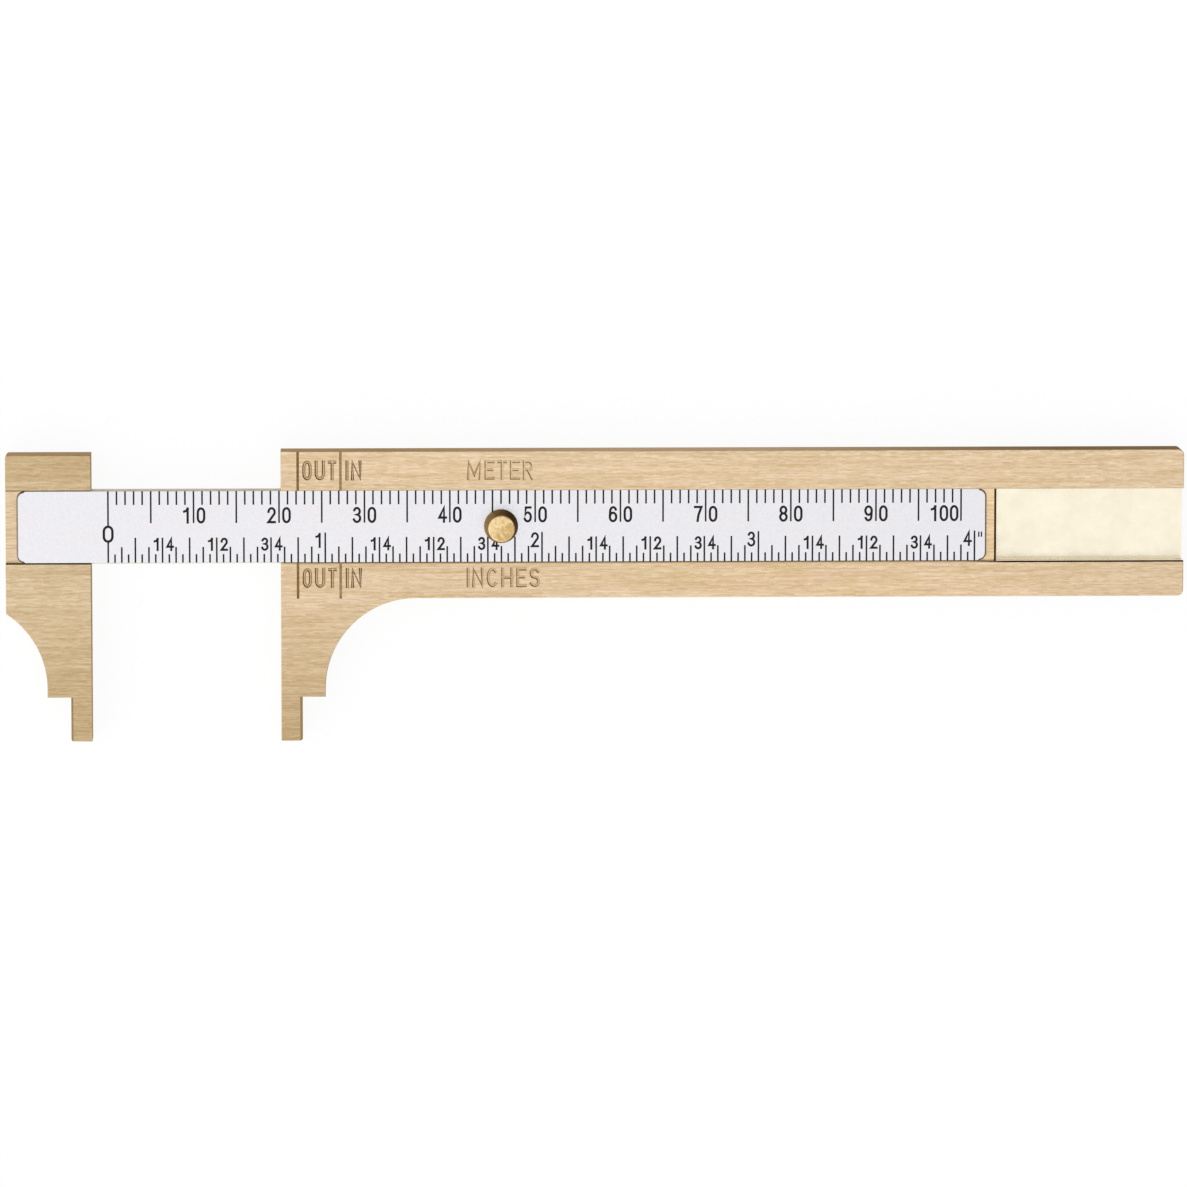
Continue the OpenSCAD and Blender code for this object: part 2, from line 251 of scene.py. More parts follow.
class CaliperStage(bpy.types.PropertyGroup):
    """Camera, floor and light."""

    camera_place: FloatVectorProperty(
        name="Camera", description="Place of the camera", unit="LENGTH", subtype="TRANSLATION",
        default=(5.41 * MM, 105.71 * MM, 997.92 * MM))
    camera_turn: FloatVectorProperty(
        name="Camera turn", description="Tilt, yaw and roll of the camera", subtype="EULER",
        default=(math.radians(-6.522), math.radians(-1.798), math.radians(0.014)))
    focal_length: FloatProperty(
        name="Focal length", description="Focal length on a 36 mm sensor", default=258.7, unit="CAMERA")
    floor_size: length("Floor width", 40000, "Width of the floor")
    floor: colour("Floor", "#555555", "Matt colour of the floor, under its white glow")
    floor_glow: FloatProperty(
        name="Floor glow", description="White that the floor shows the camera and the metal", default=0.92)
    sky: colour("Sky", "#FFFFFF", "Colour of the light")
    key_light: FloatProperty(
        name="Key light", description="Light low at the lower left, against 1 overhead", default=1.6)
    far_light: FloatProperty(
        name="Far light", description="Light low at the upper right, against 1 overhead", default=0.1)


def add_node(tree, kind, settings=None, inputs=None):
    """Adds a node with its settings. An input takes a constant, or a socket to link from."""
    node = tree.nodes.new(kind)
    for key, value in (settings or {}).items():
        setattr(node, key, value)
    for key, value in (inputs or {}).items():
        if isinstance(value, bpy.types.NodeSocket):
            tree.links.new(value, node.inputs[key])
        else:
            node.inputs[key].default_value = value
    return node


def new_material(name):
    """An empty material with its output and one shader: returns the material, its tree and the shader."""
    material = bpy.data.materials.new(name)
    material.use_nodes = True
    tree = material.node_tree
    tree.nodes.clear()
    shader = add_node(tree, "ShaderNodeBsdfPrincipled")
    add_node(tree, "ShaderNodeOutputMaterial", inputs={"Surface": shader.outputs[0]})
    return material, tree, shader


# Each finer layer of noise in a pattern has this share of the one before
NOISE_ROUGHNESS = 0.6

# Spans of noise over which grain and clouds go from one end to the other, and which noise seldom leaves
GRAIN = (0.3, 0.7)
CLOUDS = (0.35, 0.65)

# How strongly a grain's dents show
BUMP_STRENGTH = 0.3

# Sockets of a Mix node: its factor, and the two inputs and the output for colours
MIX_FACTOR = 0
MIX_FIRST = 6
MIX_SECOND = 7
MIX_RESULT = 2


def place_along(tree, axis):
    """The object's own place along one axis."""
    place = add_node(tree, "ShaderNodeTexCoord").outputs["Object"]
    return add_node(tree, "ShaderNodeSeparateXYZ", inputs={0: place}).outputs[axis]


def pattern(tree, size_mm, detail=2, seed=0):
    """Noise on the object's own millimetres, whose grain has the given size along X, Y and Z."""
    place = add_node(tree, "ShaderNodeTexCoord").outputs["Object"]
    scaled = add_node(tree, "ShaderNodeMapping", inputs={
        "Vector": place, "Location": (seed, seed, seed), "Scale": [1 / (s * MM) for s in size_mm]})
    return add_node(tree, "ShaderNodeTexNoise", inputs={
        "Vector": scaled.outputs[0], "Scale": 1, "Detail": detail, "Roughness": NOISE_ROUGHNESS}).outputs[0]


def tinted(rgba, tint):
    """A colour with its red, green and blue multiplied by a tint's."""
    return [min(1.0, c * t) for c, t in zip(rgba, tint)] + [1.0]


def shade(rgba, factor):
    """A colour made lighter or darker by a factor."""
    return tinted(rgba, (factor, factor, factor))


def fade(tree, value, span, first, second):
    """A colour that goes from the first to the second as a value goes over a span, and stops there."""
    share = add_node(tree, "ShaderNodeMapRange", inputs={
        "Value": value, "From Min": span[0], "From Max": span[1]}).outputs[0]
    return add_node(tree, "ShaderNodeMix", {"data_type": "RGBA"}, {
        MIX_FACTOR: share, MIX_FIRST: first, MIX_SECOND: second}).outputs[MIX_RESULT]


def varied(tree, body, grain, limits):
    """A colour that a grain makes darker and lighter, between two limits."""
    level = add_node(tree, "ShaderNodeMapRange", inputs={
        "Value": grain, "From Min": GRAIN[0], "From Max": GRAIN[1],
        "To Min": limits[0], "To Max": limits[1]}).outputs[0]
    return add_node(tree, "ShaderNodeMix", {"data_type": "RGBA", "blend_type": "MULTIPLY"}, {
        MIX_FACTOR: 1.0, MIX_FIRST: body, MIX_SECOND: level}).outputs[MIX_RESULT]


def roughen(tree, shader, grain, limits):
    """Gives a surface a roughness that follows a grain, between two limits."""
    level = add_node(tree, "ShaderNodeMapRange", inputs={
        "Value": grain, "From Min": GRAIN[0], "From Max": GRAIN[1],
        "To Min": limits[0], "To Max": limits[1]}).outputs[0]
    tree.links.new(level, shader.inputs["Roughness"])


def finish_metal(tree, shader, body, grain, roughness, dent_mm):
    """Gives a metal its colour, and a roughness and small dents that follow its grain."""
    tree.links.new(body, shader.inputs["Base Color"])
    roughen(tree, shader, grain, roughness)
    bump = add_node(tree, "ShaderNodeBump", inputs={
        "Height": grain, "Strength": BUMP_STRENGTH, "Distance": dent_mm * MM})
    tree.links.new(bump.outputs[0], shader.inputs["Normal"])
    shader.inputs["Metallic"].default_value = 1


# Brushed scratches: their length and width in millimetres, and how much lighter and darker they are than the
# brass. Real ones are about 0.05 mm wide, which is too fine to show, so they are drawn coarser.
BRUSHED_SCRATCHES = [(0.7, 0.11, 0.09), (2.4, 0.14, 0.08), (12, 0.2, 0.05), (18, 0.7, 0.04)]

# How much a scratch changes red, green and blue: the dark ones are browner and the light ones paler
SCRATCH_TINT = (0.85, 1.1, 1.7)


def scratched(tree, body, length_mm, width_mm, share, seed):
    """A colour with straight scratches along X of one length and width, each with a tone of its own."""
    row = add_node(tree, "ShaderNodeMath", {"operation": "SNAP"},
                   {0: place_along(tree, "Y"), 1: width_mm * MM}).outputs[0]
    start = add_node(tree, "ShaderNodeTexWhiteNoise", {"noise_dimensions": "1D"}, {"W": row}).outputs[0]
    along = add_node(tree, "ShaderNodeMath", {"operation": "MULTIPLY_ADD"},
                     {0: start, 1: length_mm * MM, 2: place_along(tree, "X")}).outputs[0]
    cell = add_node(tree, "ShaderNodeMath", {"operation": "SNAP"}, {0: along, 1: length_mm * MM}).outputs[0]
    scratch = add_node(tree, "ShaderNodeCombineXYZ", inputs={"X": cell, "Y": row, "Z": seed}).outputs[0]
    level = add_node(tree, "ShaderNodeTexWhiteNoise", inputs={"Vector": scratch}).outputs[0]
    brown, pale = [[1 + sign * share * c for c in SCRATCH_TINT] + [1] for sign in (-1, 1)]
    tone = add_node(tree, "ShaderNodeMix", {"data_type": "RGBA"}, {
        MIX_FACTOR: level, MIX_FIRST: brown, MIX_SECOND: pale}).outputs[MIX_RESULT]
    return add_node(tree, "ShaderNodeMix", {"data_type": "RGBA", "blend_type": "MULTIPLY"}, {
        MIX_FACTOR: 1.0, MIX_FIRST: body, MIX_SECOND: tone}).outputs[MIX_RESULT]


# Clouds in brushed brass: their size in millimetres and their two tints
CLOUD_SIZE = (9, 4, 4)
PINKISH = (1.02, 1, 1.04)
YELLOWISH = (0.98, 0.98, 0.91)

# Places along X between which brushed brass gets duller towards each end, and the brightness that is left
DULL_ENDS = [((55 * MM, 25 * MM), 0.955), ((80 * MM, 104 * MM), 0.95)]

# Places across the slide between which brushed brass takes on its tone above the slide and at the tips
HEAD_PLACES = (3 * MM, 6 * MM)
TIP_PLACES = (FRAME_LOW.y + 17 * MM, FRAME_LOW.y + 1 * MM)

# Brushed lines in millimetres, drawn coarser like the scratches, with their roughness and depth
BRUSHED_LINES = (12, 0.19, 0.19)
BRUSHED_ROUGHNESS = (0.48, 0.36)
BRUSHED_DENT = 0.01


def brushed_brass(name, base, head, tip):
    """Yellow brass, brushed lengthwise: light and dark scratches of several lengths over soft pinkish and
    yellowish clouds. It is a little duller towards its ends, and more so above the slide and at the jaws'
    tips."""
    material, tree, shader = new_material(name)
    along = place_along(tree, "X")
    across = place_along(tree, "Y")
    clouds = pattern(tree, CLOUD_SIZE, detail=1, seed=7)
    body = fade(tree, clouds, CLOUDS, tinted(base, YELLOWISH), tinted(base, PINKISH))
    for places, brightness in DULL_ENDS:
        body = fade(tree, along, places, body, shade(base, brightness))
    body = fade(tree, across, HEAD_PLACES, body, list(head))
    body = fade(tree, across, TIP_PLACES, body, list(tip))
    for seed, scratch in enumerate(BRUSHED_SCRATCHES):
        body = scratched(tree, body, *scratch, seed)
    lines = pattern(tree, BRUSHED_LINES, detail=1)
    finish_metal(tree, shader, body, lines, BRUSHED_ROUGHNESS, BRUSHED_DENT)
    return material


# Filed lines in millimetres, with their brightness, roughness and depth, and the dark edge tint that keeps
# the painted shade of a filed side brown where it is seen along its face
FILED_LINES = (2.5, 0.2, 0.2)
FILED_BRIGHTNESS = (0.88, 1.12)
FILED_ROUGHNESS = (0.52, 0.4)
FILED_DENT = 0.01
FILED_EDGE_TINT = (0.6, 0.5, 0.4, 1)


def filed_brass(name, near, bands):
    """Brass sides, sawn and filed along their length: dull, with fine lines along them, in brown tones that
    are painted shade. Each band is a tone that the brass takes on along X, with the places where it starts
    and where it is full."""
    material, tree, shader = new_material(name)
    lines = pattern(tree, FILED_LINES, detail=3, seed=11)
    along = place_along(tree, "X")
    body = list(near)
    for tone, start, full in bands:
        body = fade(tree, along, (start, full), body, list(tone))
    body = varied(tree, body, lines, FILED_BRIGHTNESS)
    finish_metal(tree, shader, body, lines, FILED_ROUGHNESS, FILED_DENT)
    shader.inputs["Specular Tint"].default_value = FILED_EDGE_TINT
    return material


class EvenGrain(NamedTuple):
    """An even grain of metal: its size and the depth of its dents are in millimetres."""

    roughness: float
    size: tuple
    contrast: float
    dent: float
    edge_tint: tuple = (1, 1, 1, 1)


# Even grains, by how the surface was made. Polished brass has faint clouds, under a near-white tone given
# with it that is a painted highlight. Burnished brass is nearly a mirror, with faint streaks along it.
# Scribed lines are matt and uneven. Stamped walls are smooth.
# Drawn brass has fine lines along it, and sheared aluminium short marks. The grain for painted shade is matt
# and dark.
POLISHED = EvenGrain(roughness=0.24, size=(2.6, 2.6, 2.6), contrast=0.035, dent=0.002)
BURNISHED = EvenGrain(roughness=0.1, size=(4, 0.4, 0.4), contrast=0.02, dent=0.001)
SCRIBED = EvenGrain(roughness=0.45, size=(0.4, 0.25, 0.4), contrast=0.2, dent=0.01)
STAMPED = EvenGrain(roughness=0.3, size=(0.3, 0.3, 0.3), contrast=0.08, dent=0.005)
DRAWN = EvenGrain(roughness=0.45, size=(2.5, 0.2, 0.2), contrast=0.1, dent=0.01)
SHEARED = EvenGrain(roughness=0.5, size=(0.4, 0.4, 0.1), contrast=0.15, dent=0.01)
# The last grain carries painted shade, with a dark edge tint
SHADED_GRAIN = EvenGrain(roughness=0.5, size=(1.5, 0.2, 0.2), contrast=0.15, dent=0.01,
                      edge_tint=(0.4, 0.28, 0.12, 1))

# An even grain makes its metal rougher and smoother by this much
ROUGHNESS_CHANGE = 0.06


def grained_metal(name, base, grain):
    """Metal with one even grain, which is lighter and darker by its contrast: the size and roughness of the
    grain tell a polished, drawn, stamped or sheared surface. A dark edge tint keeps painted shade dark where
    it is seen along its face."""
    material, tree, shader = new_material(name)
    noise_level = pattern(tree, grain.size, detail=3, seed=11)
    body = fade(tree, noise_level, GRAIN, shade(base, 1 - grain.contrast), shade(base, 1 + grain.contrast))
    roughness = (grain.roughness + ROUGHNESS_CHANGE, grain.roughness - ROUGHNESS_CHANGE)
    finish_metal(tree, shader, body, noise_level, roughness, grain.dent)
    shader.inputs["Specular Tint"].default_value = grain.edge_tint
    return material


# Pits and tan clouds on the stud's top: their sizes in millimetres, the noise over which they fade out, and
# their tones, with the roughness and depth of the pits; the pits' dark tone is painted shade of the hammer
# marks
PIT_SIZE = (0.4, 0.4, 0.4)
PIT_SPAN = (0.27, 0.36)
PAINTED_PIT_SHADE = 0.2
TAN_SIZE = (1.1, 1.1, 1.1)
TAN_SPAN = (0.38, 0.58)
TAN_TINT = (0.72, 0.64, 0.5)
PEENED_ROUGHNESS = (0.42, 0.3)
PEENED_DENT = 0.03


def peened_brass(name, base):
    """Brass stud's top, hammered and worn bright, with soft tan clouds and a few pits darkened with painted
    shade.
    """
    material, tree, shader = new_material(name)
    pits = pattern(tree, PIT_SIZE, detail=3, seed=5)
    clouds = pattern(tree, TAN_SIZE, detail=2, seed=9)
    body = fade(tree, clouds, TAN_SPAN, tinted(base, TAN_TINT), list(base))
    # Painted shade in the pits
    body = fade(tree, pits, PIT_SPAN, shade(base, PAINTED_PIT_SHADE), body)
    finish_metal(tree, shader, body, pits, PEENED_ROUGHNESS, PEENED_DENT)
    return material


# Etched grain and mottle of the plate: their sizes in millimetres, the mottle's tints, and the grain's
# brightness, roughness and depth. The real grain is finer, and is drawn coarser so that it shows.
SATIN_SIZE = (0.25, 0.25, 0.25)
MOTTLE_SIZE = (7, 3, 3)
COOL_TINT = (0.985, 0.995, 1)
WARM_TINT = (1, 0.985, 0.98)
SATIN_BRIGHTNESS = (0.965, 1.03)
SATIN_ROUGHNESS = (0.32, 0.24)
SATIN_DENT = 0.005


def satin_aluminium(name, base):
    """Aluminium sheet, etched to a fine white satin: nearly even, with a faint cold mottle."""
    material, tree, shader = new_material(name)
    grain = pattern(tree, SATIN_SIZE, detail=3)
    mottle = pattern(tree, MOTTLE_SIZE, detail=1, seed=4)
    body = fade(tree, mottle, CLOUDS, tinted(base, COOL_TINT), tinted(base, WARM_TINT))
    body = varied(tree, body, grain, SATIN_BRIGHTNESS)
    finish_metal(tree, shader, body, grain, SATIN_ROUGHNESS, SATIN_DENT)
    return material


# Wear of the ink: its size in millimetres, the noise over which it grows, how much paler it is, and gloss
WEAR_SIZE = (0.6, 0.6, 0.6)
WEAR_SPAN = (0.35, 0.75)
WORN_SHADE = 1.8
INK_ROUGHNESS = (0.55, 0.7)
INK_GLOSS = 0.25


def baked_ink(name, base):
    """Black ink baked into the etched lines: matt, a little thinner and greyer in places."""
    material, tree, shader = new_material(name)
    wear = pattern(tree, WEAR_SIZE, detail=2, seed=2)
    body = fade(tree, wear, WEAR_SPAN, list(base), shade(base, WORN_SHADE))
    tree.links.new(body, shader.inputs["Base Color"])
    roughen(tree, shader, wear, INK_ROUGHNESS)
    shader.inputs["Specular IOR Level"].default_value = INK_GLOSS
    return material


# Grinding rings and rolling lines in millimetres, with the two tones of their metal, its roughness, and depth
STEEL_RINGS = (2, 2, 0.08)
STEEL_TONES = ("#8A8D92", "#B9BCC0")
STEEL_ROUGHNESS = (0.4, 0.28)
BRONZE_LINES = (5, 0.15, 0.15)
BRONZE_TONES = ("#9C6F45", "#C4925F")
BRONZE_ROUGHNESS = (0.42, 0.3)
FINE_DENT = 0.002


def ground_steel(name):
    """Hardened steel pin, ground round: cool grey with fine rings round its length."""
    material, tree, shader = new_material(name)
    rings = pattern(tree, STEEL_RINGS)
    body = fade(tree, rings, GRAIN, *map(srgb, STEEL_TONES))
    finish_metal(tree, shader, body, rings, STEEL_ROUGHNESS, FINE_DENT)
    return material


def rolled_bronze(name):
    """Phosphor bronze strip, rolled: reddish, with fine lines along its length."""
    material, tree, shader = new_material(name)
    lines = pattern(tree, BRONZE_LINES)
    body = fade(tree, lines, GRAIN, *map(srgb, BRONZE_TONES))
    finish_metal(tree, shader, body, lines, BRONZE_ROUGHNESS, FINE_DENT)
    return material


# Haze of the adhesive film: its size in millimetres, its two tones and its roughness
HAZE_SIZE = (1.5, 1.5, 1.5)
FILM_TONES = ("#DCDCD6", "#EFEFEA")
FILM_ROUGHNESS = 0.5


def adhesive(name):
    """Acrylic transfer adhesive: a milky film with a faint haze."""
    material, tree, shader = new_material(name)
    haze = pattern(tree, HAZE_SIZE)
    body = fade(tree, haze, GRAIN, *map(srgb, FILM_TONES))
    tree.links.new(body, shader.inputs["Base Color"])
    shader.inputs["Roughness"].default_value = FILM_ROUGHNESS
    return material


def material_of(name, maker, *values):
    """The material of that name, made once."""
    return bpy.data.materials.get(name) or maker(name, *values)


# Places along the frame where a tone starts and where it is full: the painted shade on the sides, lighter at
# the middle and darker at the far end, and the painted shade along the channel's lower edge, darker beyond
# the slide
LIGHTER_SIDE_PLACES = (15 * MM, 38 * MM)
DARKER_SIDE_PLACES = (56 * MM, 90 * MM)
DARKER_LIP_PLACES = (80 * MM, 85 * MM)


def side_brass(finish):
    """Brass of all sawn and filed sides, in painted shade."""
    return material_of("Filed brass", filed_brass, finish.edge_brass, [
        (finish.rubbed_brass, *LIGHTER_SIDE_PLACES), (finish.far_brass, *DARKER_SIDE_PLACES)])


def wall_brass(finish):
    """Brass in painted shade: the jaw's slot and the slide's far end."""
    return material_of("Tarnished brass", grained_metal, finish.wall_brass, SHADED_GRAIN)


def ink_of(finish):
    """Ink of all lines and numerals."""
    return material_of("Baked ink", baked_ink, finish.ink)


def merged_copy(node):
    """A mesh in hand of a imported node, with its doubles merged and its flat faces whole."""
    bm = bmesh.new()
    bm.from_mesh(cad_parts[node].data)
    bmesh.ops.remove_doubles(bm, verts=bm.verts, dist=MERGE_DISTANCE)
    bmesh.ops.dissolve_limit(bm, angle_limit=FLAT_ANGLE, verts=bm.verts, edges=bm.edges)
    bm.normal_update()
    return bm


def cut_at(bm, axis, place):
    """Parts the faces of a mesh in hand at a place along an axis."""
    way = Vector()
    way[axis] = 1
    bmesh.ops.bisect_plane(bm, geom=bm.verts[:] + bm.edges[:] + bm.faces[:],
                           plane_co=way * place, plane_no=way)


# Steps over a broken edge
EDGE_STEPS = 2


def break_edges(bm, wanted, width):
    """Rounds the edges that the test picks."""
    edges = [e for e in bm.edges if len(e.link_faces) == 2 and wanted(e)]
    if not edges:
        raise RuntimeError("no edge to round was found")
    bmesh.ops.bevel(bm, geom=edges, offset=width, offset_type="OFFSET", segments=EDGE_STEPS, profile=0.5,
                    affect="EDGES", clamp_overlap=False)
    bm.normal_update()


def height_of(face):
    """How far a face reaches along Z."""
    levels = [v.co.z for v in face.verts]
    return max(levels) - min(levels)


def lies_at(edge, axis, place):
    """True for an edge whose ends both have that place along an axis."""
    return all(abs(v.co[axis] - place) < MERGE_DISTANCE for v in edge.verts)


# A side taller than this is no wall of an index line
TALL_SIDE = 0.3 * MM

# An edge of a groove in the channel's walls lies further than this above the slide's underside, and is longer
# than the second
GROOVE_HEIGHT = 0.1 * MM
GROOVE_LENGTH = 1 * MM


def outline_edge(edge):
    """True for a sharp edge between the front or back and a side that is taller than a line is deep."""
    side, front = sorted(edge.link_faces, key=lambda f: abs(f.normal.z))
    if abs(front.normal.z) < PARALLEL or abs(side.normal.z) > 1 - PARALLEL:
        return False
    at_end = lies_at(edge, 2, FRAME_HIGH.z) or lies_at(edge, 2, FRAME_LOW.z)
    return at_end and edge.is_convex and height_of(side) > TALL_SIDE


def groove_edge(edge):
    """True for an edge along the mouth of a groove in the channel's walls."""
    beside = all(abs(abs(v.co.y) - LIP) < MERGE_DISTANCE for v in edge.verts)
    inside = all(BAR_LOW.z + GROOVE_HEIGHT < v.co.z < BAR_HIGH.z for v in edge.verts)
    along = abs(edge.verts[0].co.x - edge.verts[1].co.x) > GROOVE_LENGTH
    return beside and inside and along and edge.is_convex


def to_piece(bm, name, materials, choose):
    """A finished piece from a mesh in hand: a material for each face, and flat faces kept flat."""
    for face in bm.faces:
        face.material_index = choose(face)
        face.smooth = max(abs(c) for c in face.normal) < PARALLEL
    for edge in bm.edges:
        edge.smooth = edge.calc_face_angle(0) < SHARP_ANGLE
    mesh = bpy.data.meshes.new(name)
    bm.to_mesh(mesh)
    bm.free()
    for material in materials:
        mesh.materials.append(material)
    piece = bpy.data.objects.new(name, mesh)
    bpy.context.scene.collection.objects.link(piece)
    return piece


def plain_mesh(piece, modifier):
    """Gives a piece the mesh that its modifier makes, and removes the modifier."""
    graph = bpy.context.evaluated_depsgraph_get()
    mesh = bpy.data.meshes.new_from_object(piece.evaluated_get(graph))
    piece.modifiers.remove(modifier)
    old = piece.data
    piece.data = mesh
    bpy.data.meshes.remove(old)
    mesh.name = piece.name
    if not mesh.polygons:
        raise RuntimeError(f"{piece.name} came out empty")


def combine(piece, other, operation):
    """Cuts the other mesh out of a piece, or joins it to the piece, and removes the other."""
    modifier = piece.modifiers.new("Combine", "BOOLEAN")
    modifier.operation = operation
    modifier.solver = "EXACT"
    modifier.use_self = True
    modifier.material_mode = "TRANSFER"
    modifier.object = other
    plain_mesh(piece, modifier)
    bpy.data.objects.remove(other)


# Degrees between two points of an arc, and the fewest steps that one has
ARC_STEP = 15
ARC_LEAST = 4


def arc(cx, cy, rx, ry, start, end):
    """Points on an arc of an ellipse, from one angle in degrees to another."""
    steps = max(ARC_LEAST, round(abs(end - start) / ARC_STEP))
    turns = [math.radians(start + (end - start) * i / steps) for i in range(steps + 1)]
    return [(cx + rx * math.cos(t), cy + ry * math.sin(t)) for t in turns]


def loop(cx, cy, rx, ry):
    """Points round a whole ellipse, which a stroke closes."""
    return arc(cx, cy, rx, ry, 0, 360)


# Centre lines of the strokes of each character, in a box from 0 to 1 each way: the nine is the six turned
# over, and the zero and the letter O are alike
SIX = [[*arc(0.52, 0.72, 0.46, 0.28, 25, 180), (0, 0.3)], loop(0.5, 0.3, 0.5, 0.3)]
ROUND = [*arc(0.5, 0.68, 0.5, 0.32, 0, 180), *arc(0.5, 0.32, 0.5, 0.32, 180, 360), (1, 0.68)]
STROKES = {
    "0": [ROUND],
    "1": [[(0.74, 0), (0.74, 1)], [(0.2, 0.78), (0.48, 0.82), (0.74, 0.97)]],
    "2": [[*arc(0.5, 0.72, 0.48, 0.28, 175, -25), (0, 0), (1, 0)]],
    "3": [[*arc(0.48, 0.76, 0.44, 0.24, 160, -90), *arc(0.48, 0.26, 0.5, 0.26, 90, -160)]],
    "4": [[(0.74, 0), (0.74, 1), (0, 0.29), (1.06, 0.29)]],
    "5": [[(0.92, 1), (0.2, 1), (0.1, 0.5), *arc(0.48, 0.32, 0.5, 0.32, 130, -155)]],
    "6": SIX,
    "7": [[(0, 1), (1, 1), (0.55, 0.45), (0.4, 0)]],
    "8": [loop(0.5, 0.76, 0.44, 0.24), loop(0.5, 0.26, 0.5, 0.26)],
    "9": [[(1 - x, 1 - y) for x, y in stroke] for stroke in SIX],
    "C": [arc(0.5, 0.5, 0.5, 0.5, 50, 310)],
    "E": [[(1, 1), (0, 1), (0, 0), (1, 0)], [(0, 0.52), (0.8, 0.52)]],
    "H": [[(0, 0), (0, 1)], [(1, 0), (1, 1)], [(0, 0.5), (1, 0.5)]],
    "I": [[(0.5, 0), (0.5, 1)]],
    "M": [[(0, 0), (0, 1), (0.5, 0.2), (1, 1), (1, 0)]],
    "N": [[(0, 0), (0, 1), (1, 0), (1, 1)]],
    "O": [ROUND],
    "R": [[(0, 0), (0, 1), *arc(0.55, 0.76, 0.45, 0.24, 90, -90), (0, 0.52)], [(0.45, 0.52), (1, 0)]],
    "S": [[*arc(0.5, 0.75, 0.48, 0.25, 30, 270), *arc(0.5, 0.25, 0.5, 0.25, 90, -150)]],
    "T": [[(0, 1), (1, 1)], [(0.5, 0), (0.5, 1)]],
    "U": [[(0, 1), *arc(0.5, 0.3, 0.5, 0.3, 180, 360), (1, 1)]],
}


def glyph(character, left, foot, width, height, pen):
    """Strokes of a character in a box of that place and size, half a pen inside its edges."""
    return [[Vector((left + pen / 2 + x * (width - pen), foot + pen / 2 + y * (height - pen)))
             for x, y in stroke] for stroke in STROKES[character]]


# Points of a stroke nearer than the first are one, and a stroke whose ends are nearer than the second closes
SAME_POINT = 0.01 * MM
CLOSED_GAP = 0.02 * MM


def tidy_points(points):
    """The points without repeats, and whether they close."""
    kept = [points[0]]
    for point in points[1:]:
        if (point - kept[-1]).length > SAME_POINT:
            kept.append(point)
    closed = len(kept) > 3 and (kept[0] - kept[-1]).length < CLOSED_GAP
    return (kept[:-1], True) if closed else (kept, False)


# A corner of a stroke reaches out by at most half a pen over this: printed ones are sharp, stamped ones blunt
PRINTED_MITRE = 0.35
STAMPED_MITRE = 0.6


def stroke_prism(bm, points, low, high, foot, pen, mitre):
    """A closed stroke along the points, from the height low, where it is as wide as the foot, to the
    height high, where it is as wide as the pen."""
    points, closed = tidy_points(points)
    total = len(points)
    if not closed:
        points[0] = points[0] + (points[0] - points[1]).normalized() * pen / 2
        points[-1] = points[-1] + (points[-1] - points[-2]).normalized() * pen / 2
    corners = [(pen / 2, high), (-pen / 2, high), (-foot / 2, low), (foot / 2, low)]
    sections = []
    for i, point in enumerate(points):
        before = points[i - 1] if closed or i > 0 else point * 2 - points[1]
        after = points[(i + 1) % total] if closed or i < total - 1 else point * 2 - points[-2]
        come = (point - before).normalized()
        go = (after - point).normalized()
        across = Vector((-(come + go).y, (come + go).x)).normalized()
        reach = across / max(mitre, across.dot(Vector((-come.y, come.x))))
        sections.append([bm.verts.new((*(point + reach * half), level)) for half, level in corners])
    pairs = list(zip(sections, sections[1:]))
    if closed:
        pairs.append((sections[-1], sections[0]))
    for one, two in pairs:
        for i in range(4):
            bm.faces.new((one[i], one[(i + 1) % 4], two[(i + 1) % 4], two[i]))
    if not closed:
        bm.faces.new(sections[0][::-1])
        bm.faces.new(sections[-1])


def from_strokes(name, strokes, low, high, foot, pen, mitre, materials):
    """A piece made of strokes, each a list of points: its first material is for its underside."""
    bm = bmesh.new()
    for points in strokes:
        stroke_prism(bm, points, low, high, foot, pen, mitre)
    bmesh.ops.recalc_face_normals(bm, faces=bm.faces)
    return to_piece(bm, name, materials, lambda face: 0 if face.normal.z < -PARALLEL else len(materials) - 1)


# Widths of the stamped letters, as shares of the cap height
LETTER_WIDTHS = {"C": 0.52, "E": 0.46, "H": 0.54, "I": 0.1, "M": 0.66, "N": 0.52,
                 "O": 0.49, "R": 0.5, "S": 0.48, "T": 0.44, "U": 0.54}

# Words on the rails, with their ends along the frame in millimetres: beside the index lines on both rails,
# and the unit of the scale on each
INDEX_WORDS = [("OUT", 2.53, 6.54), ("IN", 7.65, 9.5)]
UPPER_UNIT = ("METER", 21.8, 29.65)
LOWER_UNIT = ("INCHES", 21.8, 30.4)


def word_strokes(word, foot, stamp):
    """Strokes of a word whose letters are fitted between its two ends."""
    text, start, end = word
    natural = sum(LETTER_WIDTHS[c] for c in text)
    room = (end - start) * MM - stamp.letter_gap * (len(text) - 1)
    strokes = []
    left = start * MM
    for character in text:
        width = room * LETTER_WIDTHS[character] / natural
        strokes += glyph(character, left, foot, width, stamp.cap_height, stamp.stroke)
        left += width + stamp.letter_gap
    return strokes


def index_words(stamp):
    """Strokes of the words beside the index lines."""
    return [stroke for foot in (stamp.upper_base, stamp.lower_base) for word in INDEX_WORDS
            for stroke in word_strokes(word, foot, stamp)]


# An index line is less deep than this, and the two lie on either side of this place along the frame
INDEX_DEPTH = 0.2 * MM
BETWEEN_LINES = 4.5 * MM


